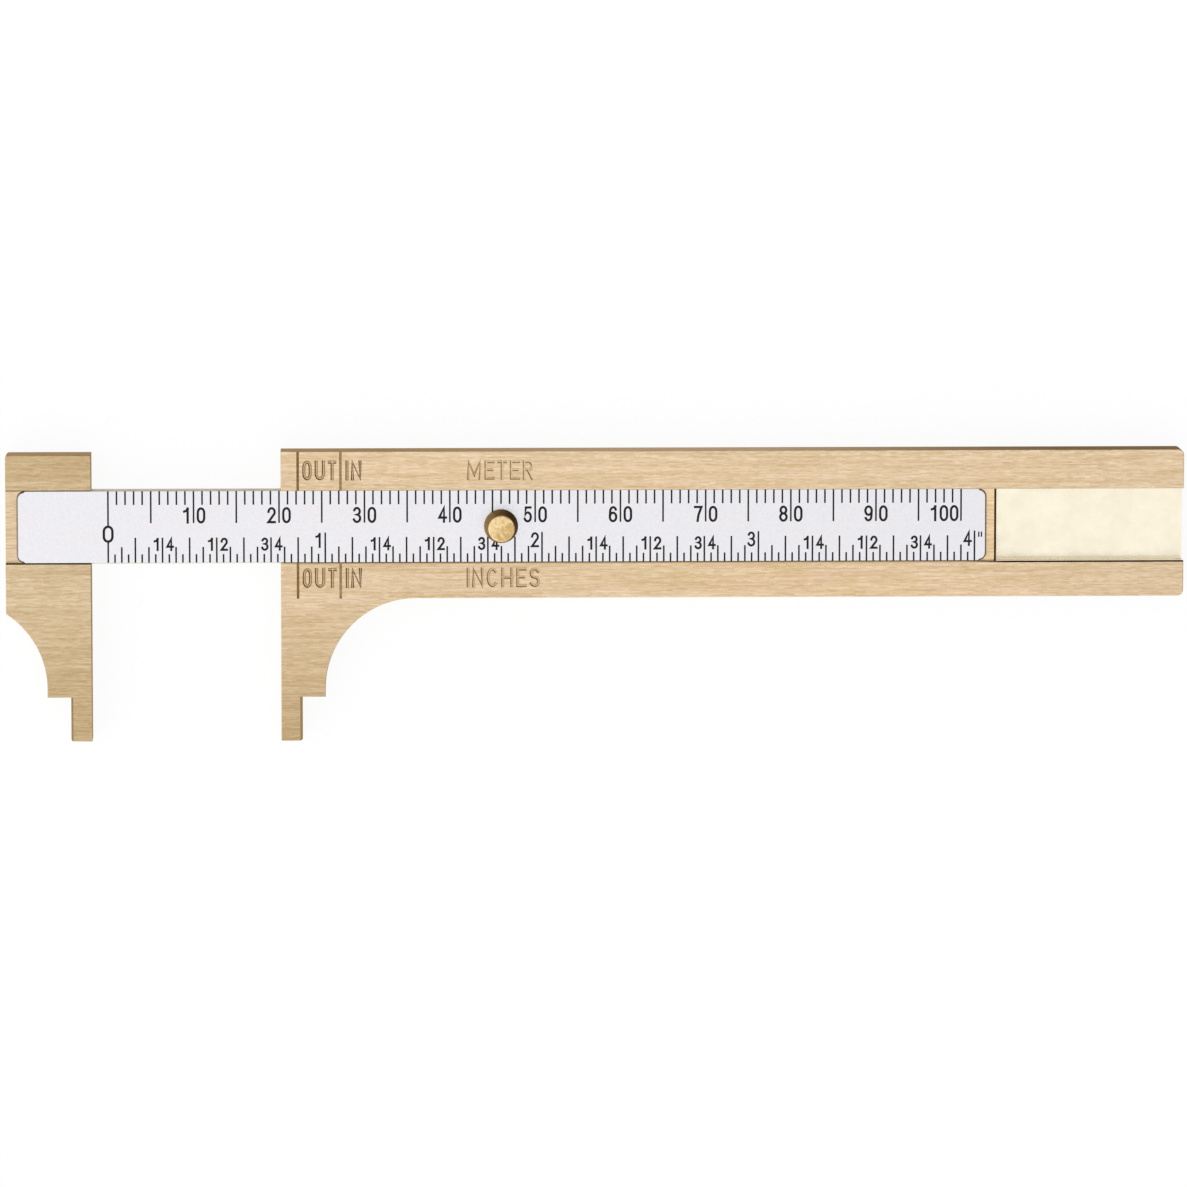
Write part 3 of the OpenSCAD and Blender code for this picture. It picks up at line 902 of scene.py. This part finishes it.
class CALIPER_OT_frame(bpy.types.Operator):
    """Finish the frame: broken edges, stamped words and index lines"""

    bl_idname = "caliper.frame"
    bl_label = "Frame"

    def execute(self, context):
        finish = context.scene.caliper_finish
        stamp = context.scene.caliper_stamp
        bm = merged_copy("frame")
        break_edges(bm, outline_edge, finish.edge_width)
        break_edges(bm, groove_edge, finish.groove_width)
        cut_at(bm, 1, -LIP - finish.lip_width)
        edge_level = FRAME_HIGH.z - finish.edge_width
        index_level = FRAME_HIGH.z - INDEX_DEPTH
        front, side, floor, wall, lip, first_line, second_line = range(7)

        def choose(face):
            centre = face.calc_center_median()
            faces_end = abs(face.normal.x) > PARALLEL
            if index_level < centre.z < edge_level and (face.normal.z > FACING or faces_end):
                return first_line if centre.x < BETWEEN_LINES else second_line
            if abs(centre.y) < CHANNEL and not faces_end and FRAME_LOW.z < centre.z < edge_level:
                return floor if face.normal.z > PARALLEL else wall
            # A strip along the channel's lower edge takes painted shade
            if centre.z > edge_level and -finish.lip_width < centre.y + LIP < MERGE_DISTANCE:
                return lip
            return front if abs(face.normal.z) > FACING else side

        piece = to_piece(bm, "frame_finished", [
            material_of("Brushed brass", brushed_brass, finish.brass, finish.brass, finish.tip_brass),
            side_brass(finish),
            # The channel's floor and walls take a near-white painted highlight
            material_of("Polished brass", grained_metal, finish.floor_brass, POLISHED),
            material_of("Burnished brass", grained_metal, finish.floor_brass, BURNISHED),
            material_of("Worn edge brass", filed_brass, finish.lip_brass, [
                (finish.lip_far, *DARKER_LIP_PLACES)]),
            material_of("Filled brass", grained_metal, finish.outside_index, SCRIBED),
            material_of("Scribed brass", grained_metal, finish.inside_index, SCRIBED),
        ], choose)
        deep = (stamp.depth, stamp.foot, stamp.stroke)
        shallow = (stamp.unit_depth, stamp.unit_foot, stamp.unit_stroke)
        upper_unit = word_strokes(UPPER_UNIT, stamp.upper_base, stamp)
        lower_unit = word_strokes(LOWER_UNIT, stamp.lower_base, stamp)
        words = [
            ("Deep stamped brass", finish.index_stamp, index_words(stamp), deep),
            ("Stamped brass", finish.metric_stamp, upper_unit, shallow),
            ("Dull stamped brass", finish.inch_stamp, lower_unit, shallow),
        ]
        for name, tone, strokes, (depth, foot, pen) in words:
            stamped = material_of(name, grained_metal, tone, STAMPED)
            cutter = from_strokes("words", strokes, FRAME_HIGH.z - depth, FRAME_HIGH.z + PAST,
                                  foot, pen, STAMPED_MITRE, [piece.data.materials[front], stamped])
            cutter.data.shade_flat()
            combine(piece, cutter, "DIFFERENCE")
        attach(piece, FRAME_BODY)
        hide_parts("frame")
        return {"FINISHED"}


class CALIPER_OT_slide_bar(bpy.types.Operator):
    """Finish the slide's bar, whose bare ends show beyond the scale plate"""

    bl_idname = "caliper.slide_bar"
    bl_label = "Slide bar"

    def execute(self, context):
        finish = context.scene.caliper_finish
        bm = merged_copy("slide_bar")
        cut_at(bm, 0, JAW_HIGH.x)
        break_edges(bm, lambda edge: lies_at(edge, 2, BAR_HIGH.z) and lies_at(edge, 0, BAR_HIGH.x),
                    finish.bar_end_width)
        near_top, far_top, side, near_end, far_end = range(5)

        def choose(face):
            centre = face.calc_center_median()
            # The broken edge at the slide's far end takes painted shade, standing in for its shadow on the
            # channel's floor
            if centre.x > BAR_HIGH.x - finish.bar_end_width:
                return far_end
            if face.normal.x < -PARALLEL:
                return near_end
            if face.normal.z < PARALLEL or centre.z < BAR_HIGH.z - MERGE_DISTANCE:
                return side
            return near_top if centre.x < JAW_HIGH.x else far_top

        piece = to_piece(bm, "slide_bar_finished", [
            material_of("Brushed near end brass", brushed_brass, finish.brass, finish.brass, finish.brass),
            material_of("Brushed bar brass", brushed_brass,
                        finish.bar_brass, finish.bar_brass, finish.bar_brass),
            material_of("Drawn brass", grained_metal, finish.bar_side, DRAWN),
            side_brass(finish),
            wall_brass(finish),
        ], choose)
        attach(piece, SLIDE_BODY)
        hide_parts("slide_bar")
        return {"FINISHED"}


class CALIPER_OT_moving_jaw(bpy.types.Operator):
    """Finish the moving jaw with broken edges"""

    bl_idname = "caliper.moving_jaw"
    bl_label = "Moving jaw"

    def execute(self, context):
        finish = context.scene.caliper_finish
        bm = merged_copy("moving_jaw")
        break_edges(bm, outline_edge, finish.edge_width)
        front, side, wall = range(3)

        def choose(face):
            along_slot = abs(face.normal.x) < RUNS_ALONG and abs(face.normal.z) < PARALLEL
            # The faces along the jaw's slot take painted shade
            if abs(face.calc_center_median().y) < CHANNEL and along_slot:
                return wall
            return front if abs(face.normal.z) > FACING else side

        piece = to_piece(bm, "moving_jaw_finished", [
            material_of("Brushed jaw brass", brushed_brass,
                        finish.jaw_brass, finish.head_brass, finish.tip_brass),
            side_brass(finish),
            wall_brass(finish),
        ], choose)
        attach(piece, SLIDE_BODY)
        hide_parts("moving_jaw")
        return {"FINISHED"}


# Length of the plate's ends, whose edges are rounded, and the height past which a rim is no wall of a line
PLATE_END = 1 * MM
TALL_RIM = 0.2 * MM


class CALIPER_OT_scale_plate(bpy.types.Operator):
    """Finish the scale plate, with rounded ends, and painted shade on its ends and sides"""

    bl_idname = "caliper.scale_plate"
    bl_label = "Scale plate"

    def execute(self, context):
        finish = context.scene.caliper_finish
        bm = merged_copy("scale_plate")
        near_end = PLATE_LOW.x + PLATE_END
        far_end = PLATE_HIGH.x - PLATE_END
        cut_at(bm, 0, near_end)
        cut_at(bm, 0, far_end)

        def end_edge(edge):
            beyond = all(v.co.x < near_end - MERGE_DISTANCE or v.co.x > far_end + MERGE_DISTANCE
                         for v in edge.verts)
            rim = any(abs(f.normal.z) < RUNS_ALONG and height_of(f) > TALL_RIM for f in edge.link_faces)
            return lies_at(edge, 2, PLATE_HIGH.z) and beyond and rim

        break_edges(bm, end_edge, finish.plate_edge_width)
        front, side = range(2)
        piece = to_piece(bm, "scale_plate_finished", [
            material_of("Satin aluminium", satin_aluminium, finish.plate),
            # The plate's ends and sides take painted shade
            material_of("Sheared aluminium", grained_metal, finish.plate_edge, SHEARED),
        ], lambda face: front if abs(face.normal.z) > PARALLEL else side)
        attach(piece, SLIDE_BODY)
        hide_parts("scale_plate")
        return {"FINISHED"}


# Inputs of the scale lines' tree: name, kind and what they are for
LINE_INPUTS = [
    ("Count", "Int", "Number of lines"),
    ("Pitch", "Float", "Distance between two lines"),
    ("Zero", "Vector", "Place of the zero line on the plate's edge"),
    ("Inward", "Float", "1 or -1: the way along Y that the lines run in from the edge"),
    ("Width", "Float", "Width of a line"),
    ("Height", "Float", "Thickness of a line"),
    ("Short length", "Float", "Length of the shortest lines"),
    ("Half step", "Float", "Lines from one half line to the next"),
    ("Half length", "Float", "Length of the half lines"),
    ("Long step", "Float", "Lines from one long line to the next"),
    ("Long length", "Float", "Length of the long lines"),
    ("Whole step", "Float", "Lines from one whole line to the next"),
    ("Whole length", "Float", "Length of the whole lines"),
    ("Zero length", "Float", "Length of the zero line"),
    ("Ink", "Material", "Material of the lines"),
]

# Kinds of longer lines: how many millimetres lie from one to the next, and parts of an inch that they mark
LINE_KINDS = ("Half", "Long", "Whole")
METRIC_STEPS = (5.0, 10.0, 100.0)
INCH_PARTS = (16, 8, 1)

# Sockets of a Mix node for the two numbers that it mixes
MIX_FIRST_NUMBER = 2
MIX_SECOND_NUMBER = 3


def scale_line_tree():
    """A geometry node tree that draws the lines of one scale along X."""
    tree = bpy.data.node_groups.new("Scale lines", "GeometryNodeTree")
    for name, kind, description in LINE_INPUTS:
        socket = tree.interface.new_socket(name, in_out="INPUT", socket_type="NodeSocket" + kind)
        socket.description = description
    tree.interface.new_socket("Geometry", in_out="OUTPUT", socket_type="NodeSocketGeometry")
    given = add_node(tree, "NodeGroupInput").outputs
    index = add_node(tree, "GeometryNodeInputIndex").outputs[0]
    size = given["Short length"]
    for kind in LINE_KINDS:
        rest = add_node(tree, "ShaderNodeMath", {"operation": "FLOORED_MODULO"},
                        {0: index, 1: given[kind + " step"]}).outputs[0]
        hit = add_node(tree, "ShaderNodeMath", {"operation": "LESS_THAN"}, {0: rest, 1: 0.5}).outputs[0]
        size = add_node(tree, "ShaderNodeMix", inputs={
            MIX_FACTOR: hit, MIX_FIRST_NUMBER: size,
            MIX_SECOND_NUMBER: given[kind + " length"]}).outputs[0]
    first = add_node(tree, "ShaderNodeMath", {"operation": "LESS_THAN"}, {0: index, 1: 0.5}).outputs[0]
    size = add_node(tree, "ShaderNodeMix", inputs={
        MIX_FACTOR: first, MIX_FIRST_NUMBER: size, MIX_SECOND_NUMBER: given["Zero length"]}).outputs[0]
    step = add_node(tree, "ShaderNodeCombineXYZ", inputs={"X": given["Pitch"]}).outputs[0]
    points = add_node(tree, "GeometryNodeMeshLine", inputs={
        "Count": given["Count"], "Start Location": given["Zero"], "Offset": step}).outputs[0]
    inward = add_node(tree, "ShaderNodeMath", {"operation": "MULTIPLY"},
                      {0: size, 1: given["Inward"]}).outputs[0]
    half_in = add_node(tree, "ShaderNodeMath", {"operation": "MULTIPLY"}, {0: inward, 1: 0.5}).outputs[0]
    drop = add_node(tree, "ShaderNodeMath", {"operation": "MULTIPLY"},
                    {0: given["Height"], 1: -0.5}).outputs[0]
    shift = add_node(tree, "ShaderNodeCombineXYZ", inputs={"Y": half_in, "Z": drop}).outputs[0]
    points = add_node(tree, "GeometryNodeSetPosition", inputs={
        "Geometry": points, "Offset": shift}).outputs[0]
    bar = add_node(tree, "GeometryNodeMeshCube", inputs={"Size": (1, 1, 1)}).outputs[0]
    scale = add_node(tree, "ShaderNodeCombineXYZ", inputs={
        "X": given["Width"], "Y": size, "Z": given["Height"]}).outputs[0]
    lines = add_node(tree, "GeometryNodeInstanceOnPoints", inputs={
        "Points": points, "Instance": bar, "Scale": scale}).outputs[0]
    solid = add_node(tree, "GeometryNodeRealizeInstances", inputs={"Geometry": lines}).outputs[0]
    inked = add_node(tree, "GeometryNodeSetMaterial", inputs={
        "Geometry": solid, "Material": given["Ink"]}).outputs[0]
    add_node(tree, "NodeGroupOutput", inputs={"Geometry": inked})
    return tree


def scale_lines(name, tree, values):
    """A piece with the lines of one scale, as a plain mesh."""
    piece = bpy.data.objects.new(name, bpy.data.meshes.new("start"))
    bpy.context.scene.collection.objects.link(piece)
    modifier = piece.modifiers.new("Scale lines", "NODES")
    modifier.node_group = tree
    for item in tree.interface.items_tree:
        if item.in_out == "INPUT":
            modifier[item.identifier] = values[item.name]
    plain_mesh(piece, modifier)
    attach(piece, SLIDE_BODY)


def line_kinds(steps, lengths):
    """Values of the tree's inputs for the longer lines."""
    values = {}
    for kind, step, size in zip(LINE_KINDS, steps, lengths):
        values[kind + " step"] = step
        values[kind + " length"] = size
    return values


class CALIPER_OT_scale_lines(bpy.types.Operator):
    """Fill the etched lines of the metric and the inch scale with ink"""

    bl_idname = "caliper.scale_lines"
    bl_label = "Scale lines"

    def execute(self, context):
        scale = context.scene.caliper_scale
        zero = JAW_HIGH.x + scale.zero_from_jaw
        level = PLATE_HIGH.z - scale.ink_below
        tree = scale_line_tree()
        shared = {"Width": scale.line_width, "Height": scale.line_height,
                  "Ink": ink_of(context.scene.caliper_finish)}
        metric_lengths = (scale.five_mm_mark, scale.five_mm_mark, scale.five_mm_mark)
        scale_lines("metric_lines", tree, {
            **shared, **line_kinds(METRIC_STEPS, metric_lengths),
            "Count": scale.millimetres + 1, "Pitch": MM, "Inward": -1.0,
            "Zero": (zero, PLATE_HIGH.y, level), "Short length": scale.mm_mark,
            "Zero length": scale.zero_mark_upper})
        inch_steps = [scale.inch_parts / parts for parts in INCH_PARTS]
        inch_lengths = (scale.sixteenth_mark, scale.eighth_mark, scale.inch_mark)
        scale_lines("inch_lines", tree, {
            **shared, **line_kinds(inch_steps, inch_lengths),
            "Count": scale.inches * scale.inch_parts + 1, "Pitch": INCH / scale.inch_parts,
            "Inward": 1.0, "Zero": (zero, PLATE_LOW.y, level), "Short length": scale.thirty_second_mark,
            "Zero length": scale.zero_mark_lower})
        return {"FINISHED"}


# Millimetres from one numbered line to the next
NUMBERED = 10

# Shares of an inch that are numbered, with the numerals before and after their lines
QUARTERS = [(0.25, "1", "4"), (0.5, "1", "2"), (0.75, "3", "4")]


def metric_numerals(zero, scale, size):
    """Numerals that straddle each ten millimetre line, and the last one before its line."""
    box = (size.metric_foot, size.metric_width, size.metric_height, size.metric_pen)
    glyphs = []
    for tens in range(1, scale.millimetres // NUMBERED):
        line = zero + tens * NUMBERED * MM
        glyphs.append(glyph(str(tens), line - size.metric_gap - size.metric_width, *box))
        glyphs.append(glyph("0", line + size.metric_gap, *box))
    left = zero + scale.millimetres * MM - size.last_gap
    for character in reversed(str(scale.millimetres)):
        left -= size.metric_width
        glyphs.append(glyph(character, left, *box))
        left -= size.last_space
    return glyphs


def inch_numerals(zero, scale, size):
    """Numerals of the quarters on both sides of their lines, and of the whole inches before theirs."""
    quarter = (size.quarter_foot, size.inch_width, size.quarter_height, size.inch_pen)
    whole = (size.whole_foot, size.whole_width, size.whole_height, size.inch_pen)
    glyphs = []
    for inch in range(scale.inches):
        for share, over, under in QUARTERS:
            line = zero + (inch + share) * INCH
            glyphs.append(glyph(over, line - size.over_gap - size.inch_width, *quarter))
            glyphs.append(glyph(under, line + size.under_gap, *quarter))
        line = zero + (inch + 1) * INCH
        glyphs.append(glyph(str(inch + 1), line - size.whole_gap - size.whole_width, *whole))
    return glyphs


def inch_sign(zero, scale, size):
    """The two short strokes after the last inch line."""
    first = zero + scale.inches * INCH + size.sign_gap
    tops = [Vector((first + i * size.sign_pitch, size.sign_top)) for i in range(2)]
    return [[[top, top - Vector((0, size.sign_height))]] for top in tops]


def zero_numeral(zero, size):
    """The zero that both scales share."""
    return [glyph("0", zero - size.zero_width / 2, size.zero_middle - size.zero_height / 2,
                  size.zero_width, size.zero_height, size.zero_pen)]


class CALIPER_OT_numerals(bpy.types.Operator):
    """Print the numerals of both scales"""

    bl_idname = "caliper.numerals"
    bl_label = "Numerals"

    def execute(self, context):
        scale = context.scene.caliper_scale
        size = context.scene.caliper_numerals
        ink = ink_of(context.scene.caliper_finish)
        zero = JAW_HIGH.x + scale.zero_from_jaw
        low, high = PLATE_HIGH.z, PLATE_HIGH.z + size.ink_height
        groups = [("metric_numerals", metric_numerals(zero, scale, size), size.metric_pen),
                  ("inch_numerals", inch_numerals(zero, scale, size), size.inch_pen),
                  ("inch_sign", inch_sign(zero, scale, size), size.sign_pen),
                  ("zero_numeral", zero_numeral(zero, size), size.zero_pen)]
        for name, glyphs, pen in groups:
            pens = (low, high, pen, pen, PRINTED_MITRE, [ink])
            piece = from_strokes(name, [strokes[0] for strokes in glyphs], *pens)
            others = [stroke for strokes in glyphs for stroke in strokes[1:]]
            if others:
                combine(piece, from_strokes("others", others, *pens), "UNION")
            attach(piece, SLIDE_BODY)
        return {"FINISHED"}


# Hammer marks on the stud's top: how many lie along a millimetre, how steep their sides are and their share
# of the depth, then the count and share of the finer flaws between them, and what is left of both at the rim
MARKS_PER_MM = 1.9
MARK_SLOPE = 1.6
MARK_SHARE = 0.7
FLAWS_PER_MM = 3.1
FLAW_SHARE = 0.3
RIM_SHARE = 0.3


def dents(x, y):
    """Depth of the hammer marks at a place on the stud's top, from 0 to 1."""
    place = Vector((x / MM, y / MM, 0))
    nearest = noise.voronoi(place * MARKS_PER_MM)[0][0]
    mark = 1 - min(1, nearest * MARK_SLOPE)
    return max(0, MARK_SHARE * mark + FLAW_SHARE * noise.noise(place * FLAWS_PER_MM))


def stud_profile(stud, radius):
    """Half of the stud's section, from its riveted end up to the middle of its top."""
    flat = stud.top_radius - stud.rim
    top = STUD_HIGH.z
    profile = [(0, STUD_LOW.z), (stud.rivet_radius, STUD_LOW.z),
               (stud.shank_radius, STUD_LOW.z + stud.rivet_height),
               (stud.shank_radius, PLATE_HIGH.z), (radius, PLATE_HIGH.z)]
    turns = [math.radians(90 * i / stud.rim_steps) for i in range(stud.rim_steps + 1)]
    profile += [(flat + stud.rim * math.cos(t), top - stud.rim + stud.rim * math.sin(t)) for t in turns]
    return profile + [(flat * (1 - i / stud.top_rings), top) for i in range(1, stud.top_rings + 1)]


class CALIPER_OT_thumb_stud(bpy.types.Operator):
    """Turn the thumb stud, with a tapered side and a peened top"""

    bl_idname = "caliper.thumb_stud"
    bl_label = "Thumb stud"

    def execute(self, context):
        finish = context.scene.caliper_finish
        stud = context.scene.caliper_stud
        centre = (STUD_LOW + STUD_HIGH) / 2
        radius = (STUD_HIGH.x - STUD_LOW.x) / 2
        bm = bmesh.new()
        points = [bm.verts.new((centre.x + r, centre.y, z)) for r, z in stud_profile(stud, radius)]
        edges = [bm.edges.new(pair) for pair in zip(points, points[1:])]
        bmesh.ops.spin(bm, geom=points + edges, cent=centre, axis=(0, 0, 1), angle=math.tau,
                       steps=stud.steps, use_merge=True)
        bmesh.ops.remove_doubles(bm, verts=bm.verts, dist=MERGE_DISTANCE)
        bmesh.ops.recalc_face_normals(bm, faces=bm.faces)
        for vert in bm.verts:
            if vert.co.z > STUD_HIGH.z - MERGE_DISTANCE:
                x, y = vert.co.x - centre.x, vert.co.y - centre.y
                inside = min(1, 1 + RIM_SHARE - math.hypot(x, y) / stud.top_radius)
                vert.co.z -= stud.dent_depth * inside * dents(x, y)
        bm.normal_update()
        top, side = range(2)
        rim_level = STUD_HIGH.z - stud.rim
        piece = to_piece(bm, "thumb_stud_finished", [
            material_of("Peened brass", peened_brass, finish.stud_top),
            # The stud's side takes painted shade, lighter at its left and darker at its right
            material_of("Turned brass", filed_brass, finish.stud_near, [
                (finish.stud_far, centre.x - radius / 2, centre.x + radius / 2)]),
        ], lambda face: top if face.calc_center_median().z > rim_level else side)
        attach(piece, SLIDE_BODY)
        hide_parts("thumb_stud")
        return {"FINISHED"}


# Width of the broken edges of the pins and of the spring's leaf. The film has none.
PIN_BREAK = 0.06 * MM
LEAF_BREAK = 0.03 * MM
NO_BREAK = 0


def square_edge(edge):
    """True for a sharp outer edge of a pin or a leaf."""
    return edge.is_convex and edge.calc_face_angle() > SHARP_ANGLE


class CALIPER_OT_inner_pieces(bpy.types.Operator):
    """Finish the pieces inside: stop pin, friction spring, jaw pins and adhesive film"""

    bl_idname = "caliper.inner_pieces"
    bl_label = "Inner pieces"

    def execute(self, context):
        finish = context.scene.caliper_finish
        inner = [
            ("stop_pin", FRAME_BODY, "steel", material_of("Ground steel", ground_steel), PIN_BREAK),
            ("friction_spring", FRAME_BODY, "spring_bronze",
             material_of("Rolled bronze", rolled_bronze), LEAF_BREAK),
            ("jaw_pins", SLIDE_BODY, "brass", side_brass(finish), PIN_BREAK),
            ("adhesive_film", SLIDE_BODY, "adhesive", material_of("Acrylic adhesive", adhesive), NO_BREAK),
        ]
        for node, body, slot, material, width in inner:
            bm = merged_copy(node)
            if width:
                break_edges(bm, square_edge, width)
            piece = to_piece(bm, node + "_finished", [material], lambda face: 0)
            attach(piece, body)
            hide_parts(node)
        return {"FINISHED"}


# Tooth of the paper in millimetres and its two shades, and how far the paper lies below the object
TOOTH_SIZE = (0.8, 0.8, 0.8)
PAPER_SHADES = (0.97, 1.03)
FLOOR_GAP = 0.02 * MM

# Width of the camera's sensor in millimetres, and the nearest and farthest that it sees, in metres
SENSOR_WIDTH = 36
NEAREST = 0.01
FARTHEST = 100


def studio_paper(stage):
    """Matt white paper: it takes the object's shadow, and looks white to the camera and in metal."""
    material, tree, shader = new_material("Studio paper")
    tooth = pattern(tree, TOOTH_SIZE)
    body = fade(tree, tooth, GRAIN, *[shade(stage.floor, factor) for factor in PAPER_SHADES])
    tree.links.new(body, shader.inputs["Base Color"])
    shader.inputs["Roughness"].default_value = 1
    shader.inputs["Specular IOR Level"].default_value = 0
    shader.inputs["Emission Color"].default_value = (1, 1, 1, 1)
    path = add_node(tree, "ShaderNodeLightPath").outputs
    seen = path["Is Camera Ray"]
    for ray in ("Is Glossy Ray", "Is Transmission Ray"):
        seen = add_node(tree, "ShaderNodeMath", {"operation": "MAXIMUM"}, {0: seen, 1: path[ray]}).outputs[0]
    glow = add_node(tree, "ShaderNodeMath", {"operation": "MULTIPLY"},
                    {0: seen, 1: stage.floor_glow}).outputs[0]
    tree.links.new(glow, shader.inputs["Emission Strength"])
    return material


def studio_sky(stage):
    """A soft sky, even overhead, which brightens low at the lower left and darkens low at the upper right,
    so that each edge and stamped wall is light or dark by the way it faces."""
    world = bpy.data.worlds.new("Studio sky")
    world.use_nodes = True
    tree = world.node_tree
    tree.nodes.clear()
    way = add_node(tree, "ShaderNodeTexCoord").outputs["Generated"]
    lower_left = Vector((-1, -1, 0)).normalized()
    lean = add_node(tree, "ShaderNodeVectorMath", {"operation": "DOT_PRODUCT"},
                    {0: way, 1: lower_left}).outputs["Value"]
    away = add_node(tree, "ShaderNodeMapRange", inputs={
        "Value": lean, "From Min": -1, "From Max": 0, "To Min": stage.far_light, "To Max": 1}).outputs[0]
    towards = add_node(tree, "ShaderNodeMapRange", inputs={
        "Value": lean, "From Min": 0, "From Max": 1, "To Min": 1, "To Max": stage.key_light}).outputs[0]
    level = add_node(tree, "ShaderNodeMath", {"operation": "MULTIPLY"}, {0: away, 1: towards}).outputs[0]
    back = add_node(tree, "ShaderNodeBackground", inputs={"Color": list(stage.sky), "Strength": level})
    add_node(tree, "ShaderNodeOutputWorld", inputs={"Surface": back.outputs[0]})
    return world


class CALIPER_OT_stage(bpy.types.Operator):
    """Set the stage: a pale floor, soft light and the camera"""

    bl_idname = "caliper.stage"
    bl_label = "Stage"

    def execute(self, context):
        scene = context.scene
        stage = scene.caliper_stage
        half = stage.floor_size / 2
        mesh = bpy.data.meshes.new("floor")
        level = FRAME_LOW.z - FLOOR_GAP
        corners = [(-half, -half, level), (half, -half, level), (half, half, level), (-half, half, level)]
        mesh.from_pydata(corners, [], [(0, 1, 2, 3)])
        mesh.materials.append(studio_paper(stage))
        floor = bpy.data.objects.new("floor", mesh)
        scene.collection.objects.link(floor)
        scene.world = studio_sky(stage)

        lens = bpy.data.cameras.new("camera")
        lens.sensor_width = SENSOR_WIDTH
        lens.lens = stage.focal_length
        lens.clip_start = NEAREST
        lens.clip_end = FARTHEST
        camera = bpy.data.objects.new("camera", lens)
        camera.location = stage.camera_place
        camera.rotation_euler = Euler(stage.camera_turn)
        scene.collection.objects.link(camera)
        scene.camera = camera
        scene.view_settings.view_transform = "Standard"
        return {"FINISHED"}


OPERATORS = [
    CALIPER_OT_frame,
    CALIPER_OT_slide_bar,
    CALIPER_OT_moving_jaw,
    CALIPER_OT_scale_plate,
    CALIPER_OT_scale_lines,
    CALIPER_OT_numerals,
    CALIPER_OT_thumb_stud,
    CALIPER_OT_inner_pieces,
    CALIPER_OT_stage,
]

PROPERTIES = {
    "caliper_finish": CaliperFinish,
    "caliper_scale": CaliperScale,
    "caliper_numerals": CaliperNumerals,
    "caliper_stamp": CaliperStamp,
    "caliper_stud": CaliperStud,
    "caliper_stage": CaliperStage,
}


class CALIPER_PT_sidebar(bpy.types.Panel):
    """Sizes, colours and steps of the caliper"""

    bl_idname = "CALIPER_PT_sidebar"
    bl_label = "Pocket Caliper"
    bl_space_type = "VIEW_3D"
    bl_region_type = "UI"
    bl_category = "Caliper"

    def draw(self, context):
        for name, group in PROPERTIES.items():
            box = self.layout.box()
            for item in group.__annotations__:
                box.prop(getattr(context.scene, name), item)
        for operator in OPERATORS:
            self.layout.operator(operator.bl_idname)


def register():
    """Registers the classes and hangs the properties on the scene."""
    for group in (*PROPERTIES.values(), *OPERATORS, CALIPER_PT_sidebar):
        bpy.utils.register_class(group)
    for name, group in PROPERTIES.items():
        setattr(bpy.types.Scene, name, PointerProperty(type=group))


def unregister():
    """Undoes register, in the reverse order."""
    for name in PROPERTIES:
        delattr(bpy.types.Scene, name)
    for group in (CALIPER_PT_sidebar, *reversed(OPERATORS), *reversed(list(PROPERTIES.values()))):
        bpy.utils.unregister_class(group)


def main():
    """Registers the add-on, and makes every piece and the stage."""
    register()
    for operator in OPERATORS:
        group, name = operator.bl_idname.split(".")
        getattr(getattr(bpy.ops, group), name)()


if __name__ == "__main__":
    main()
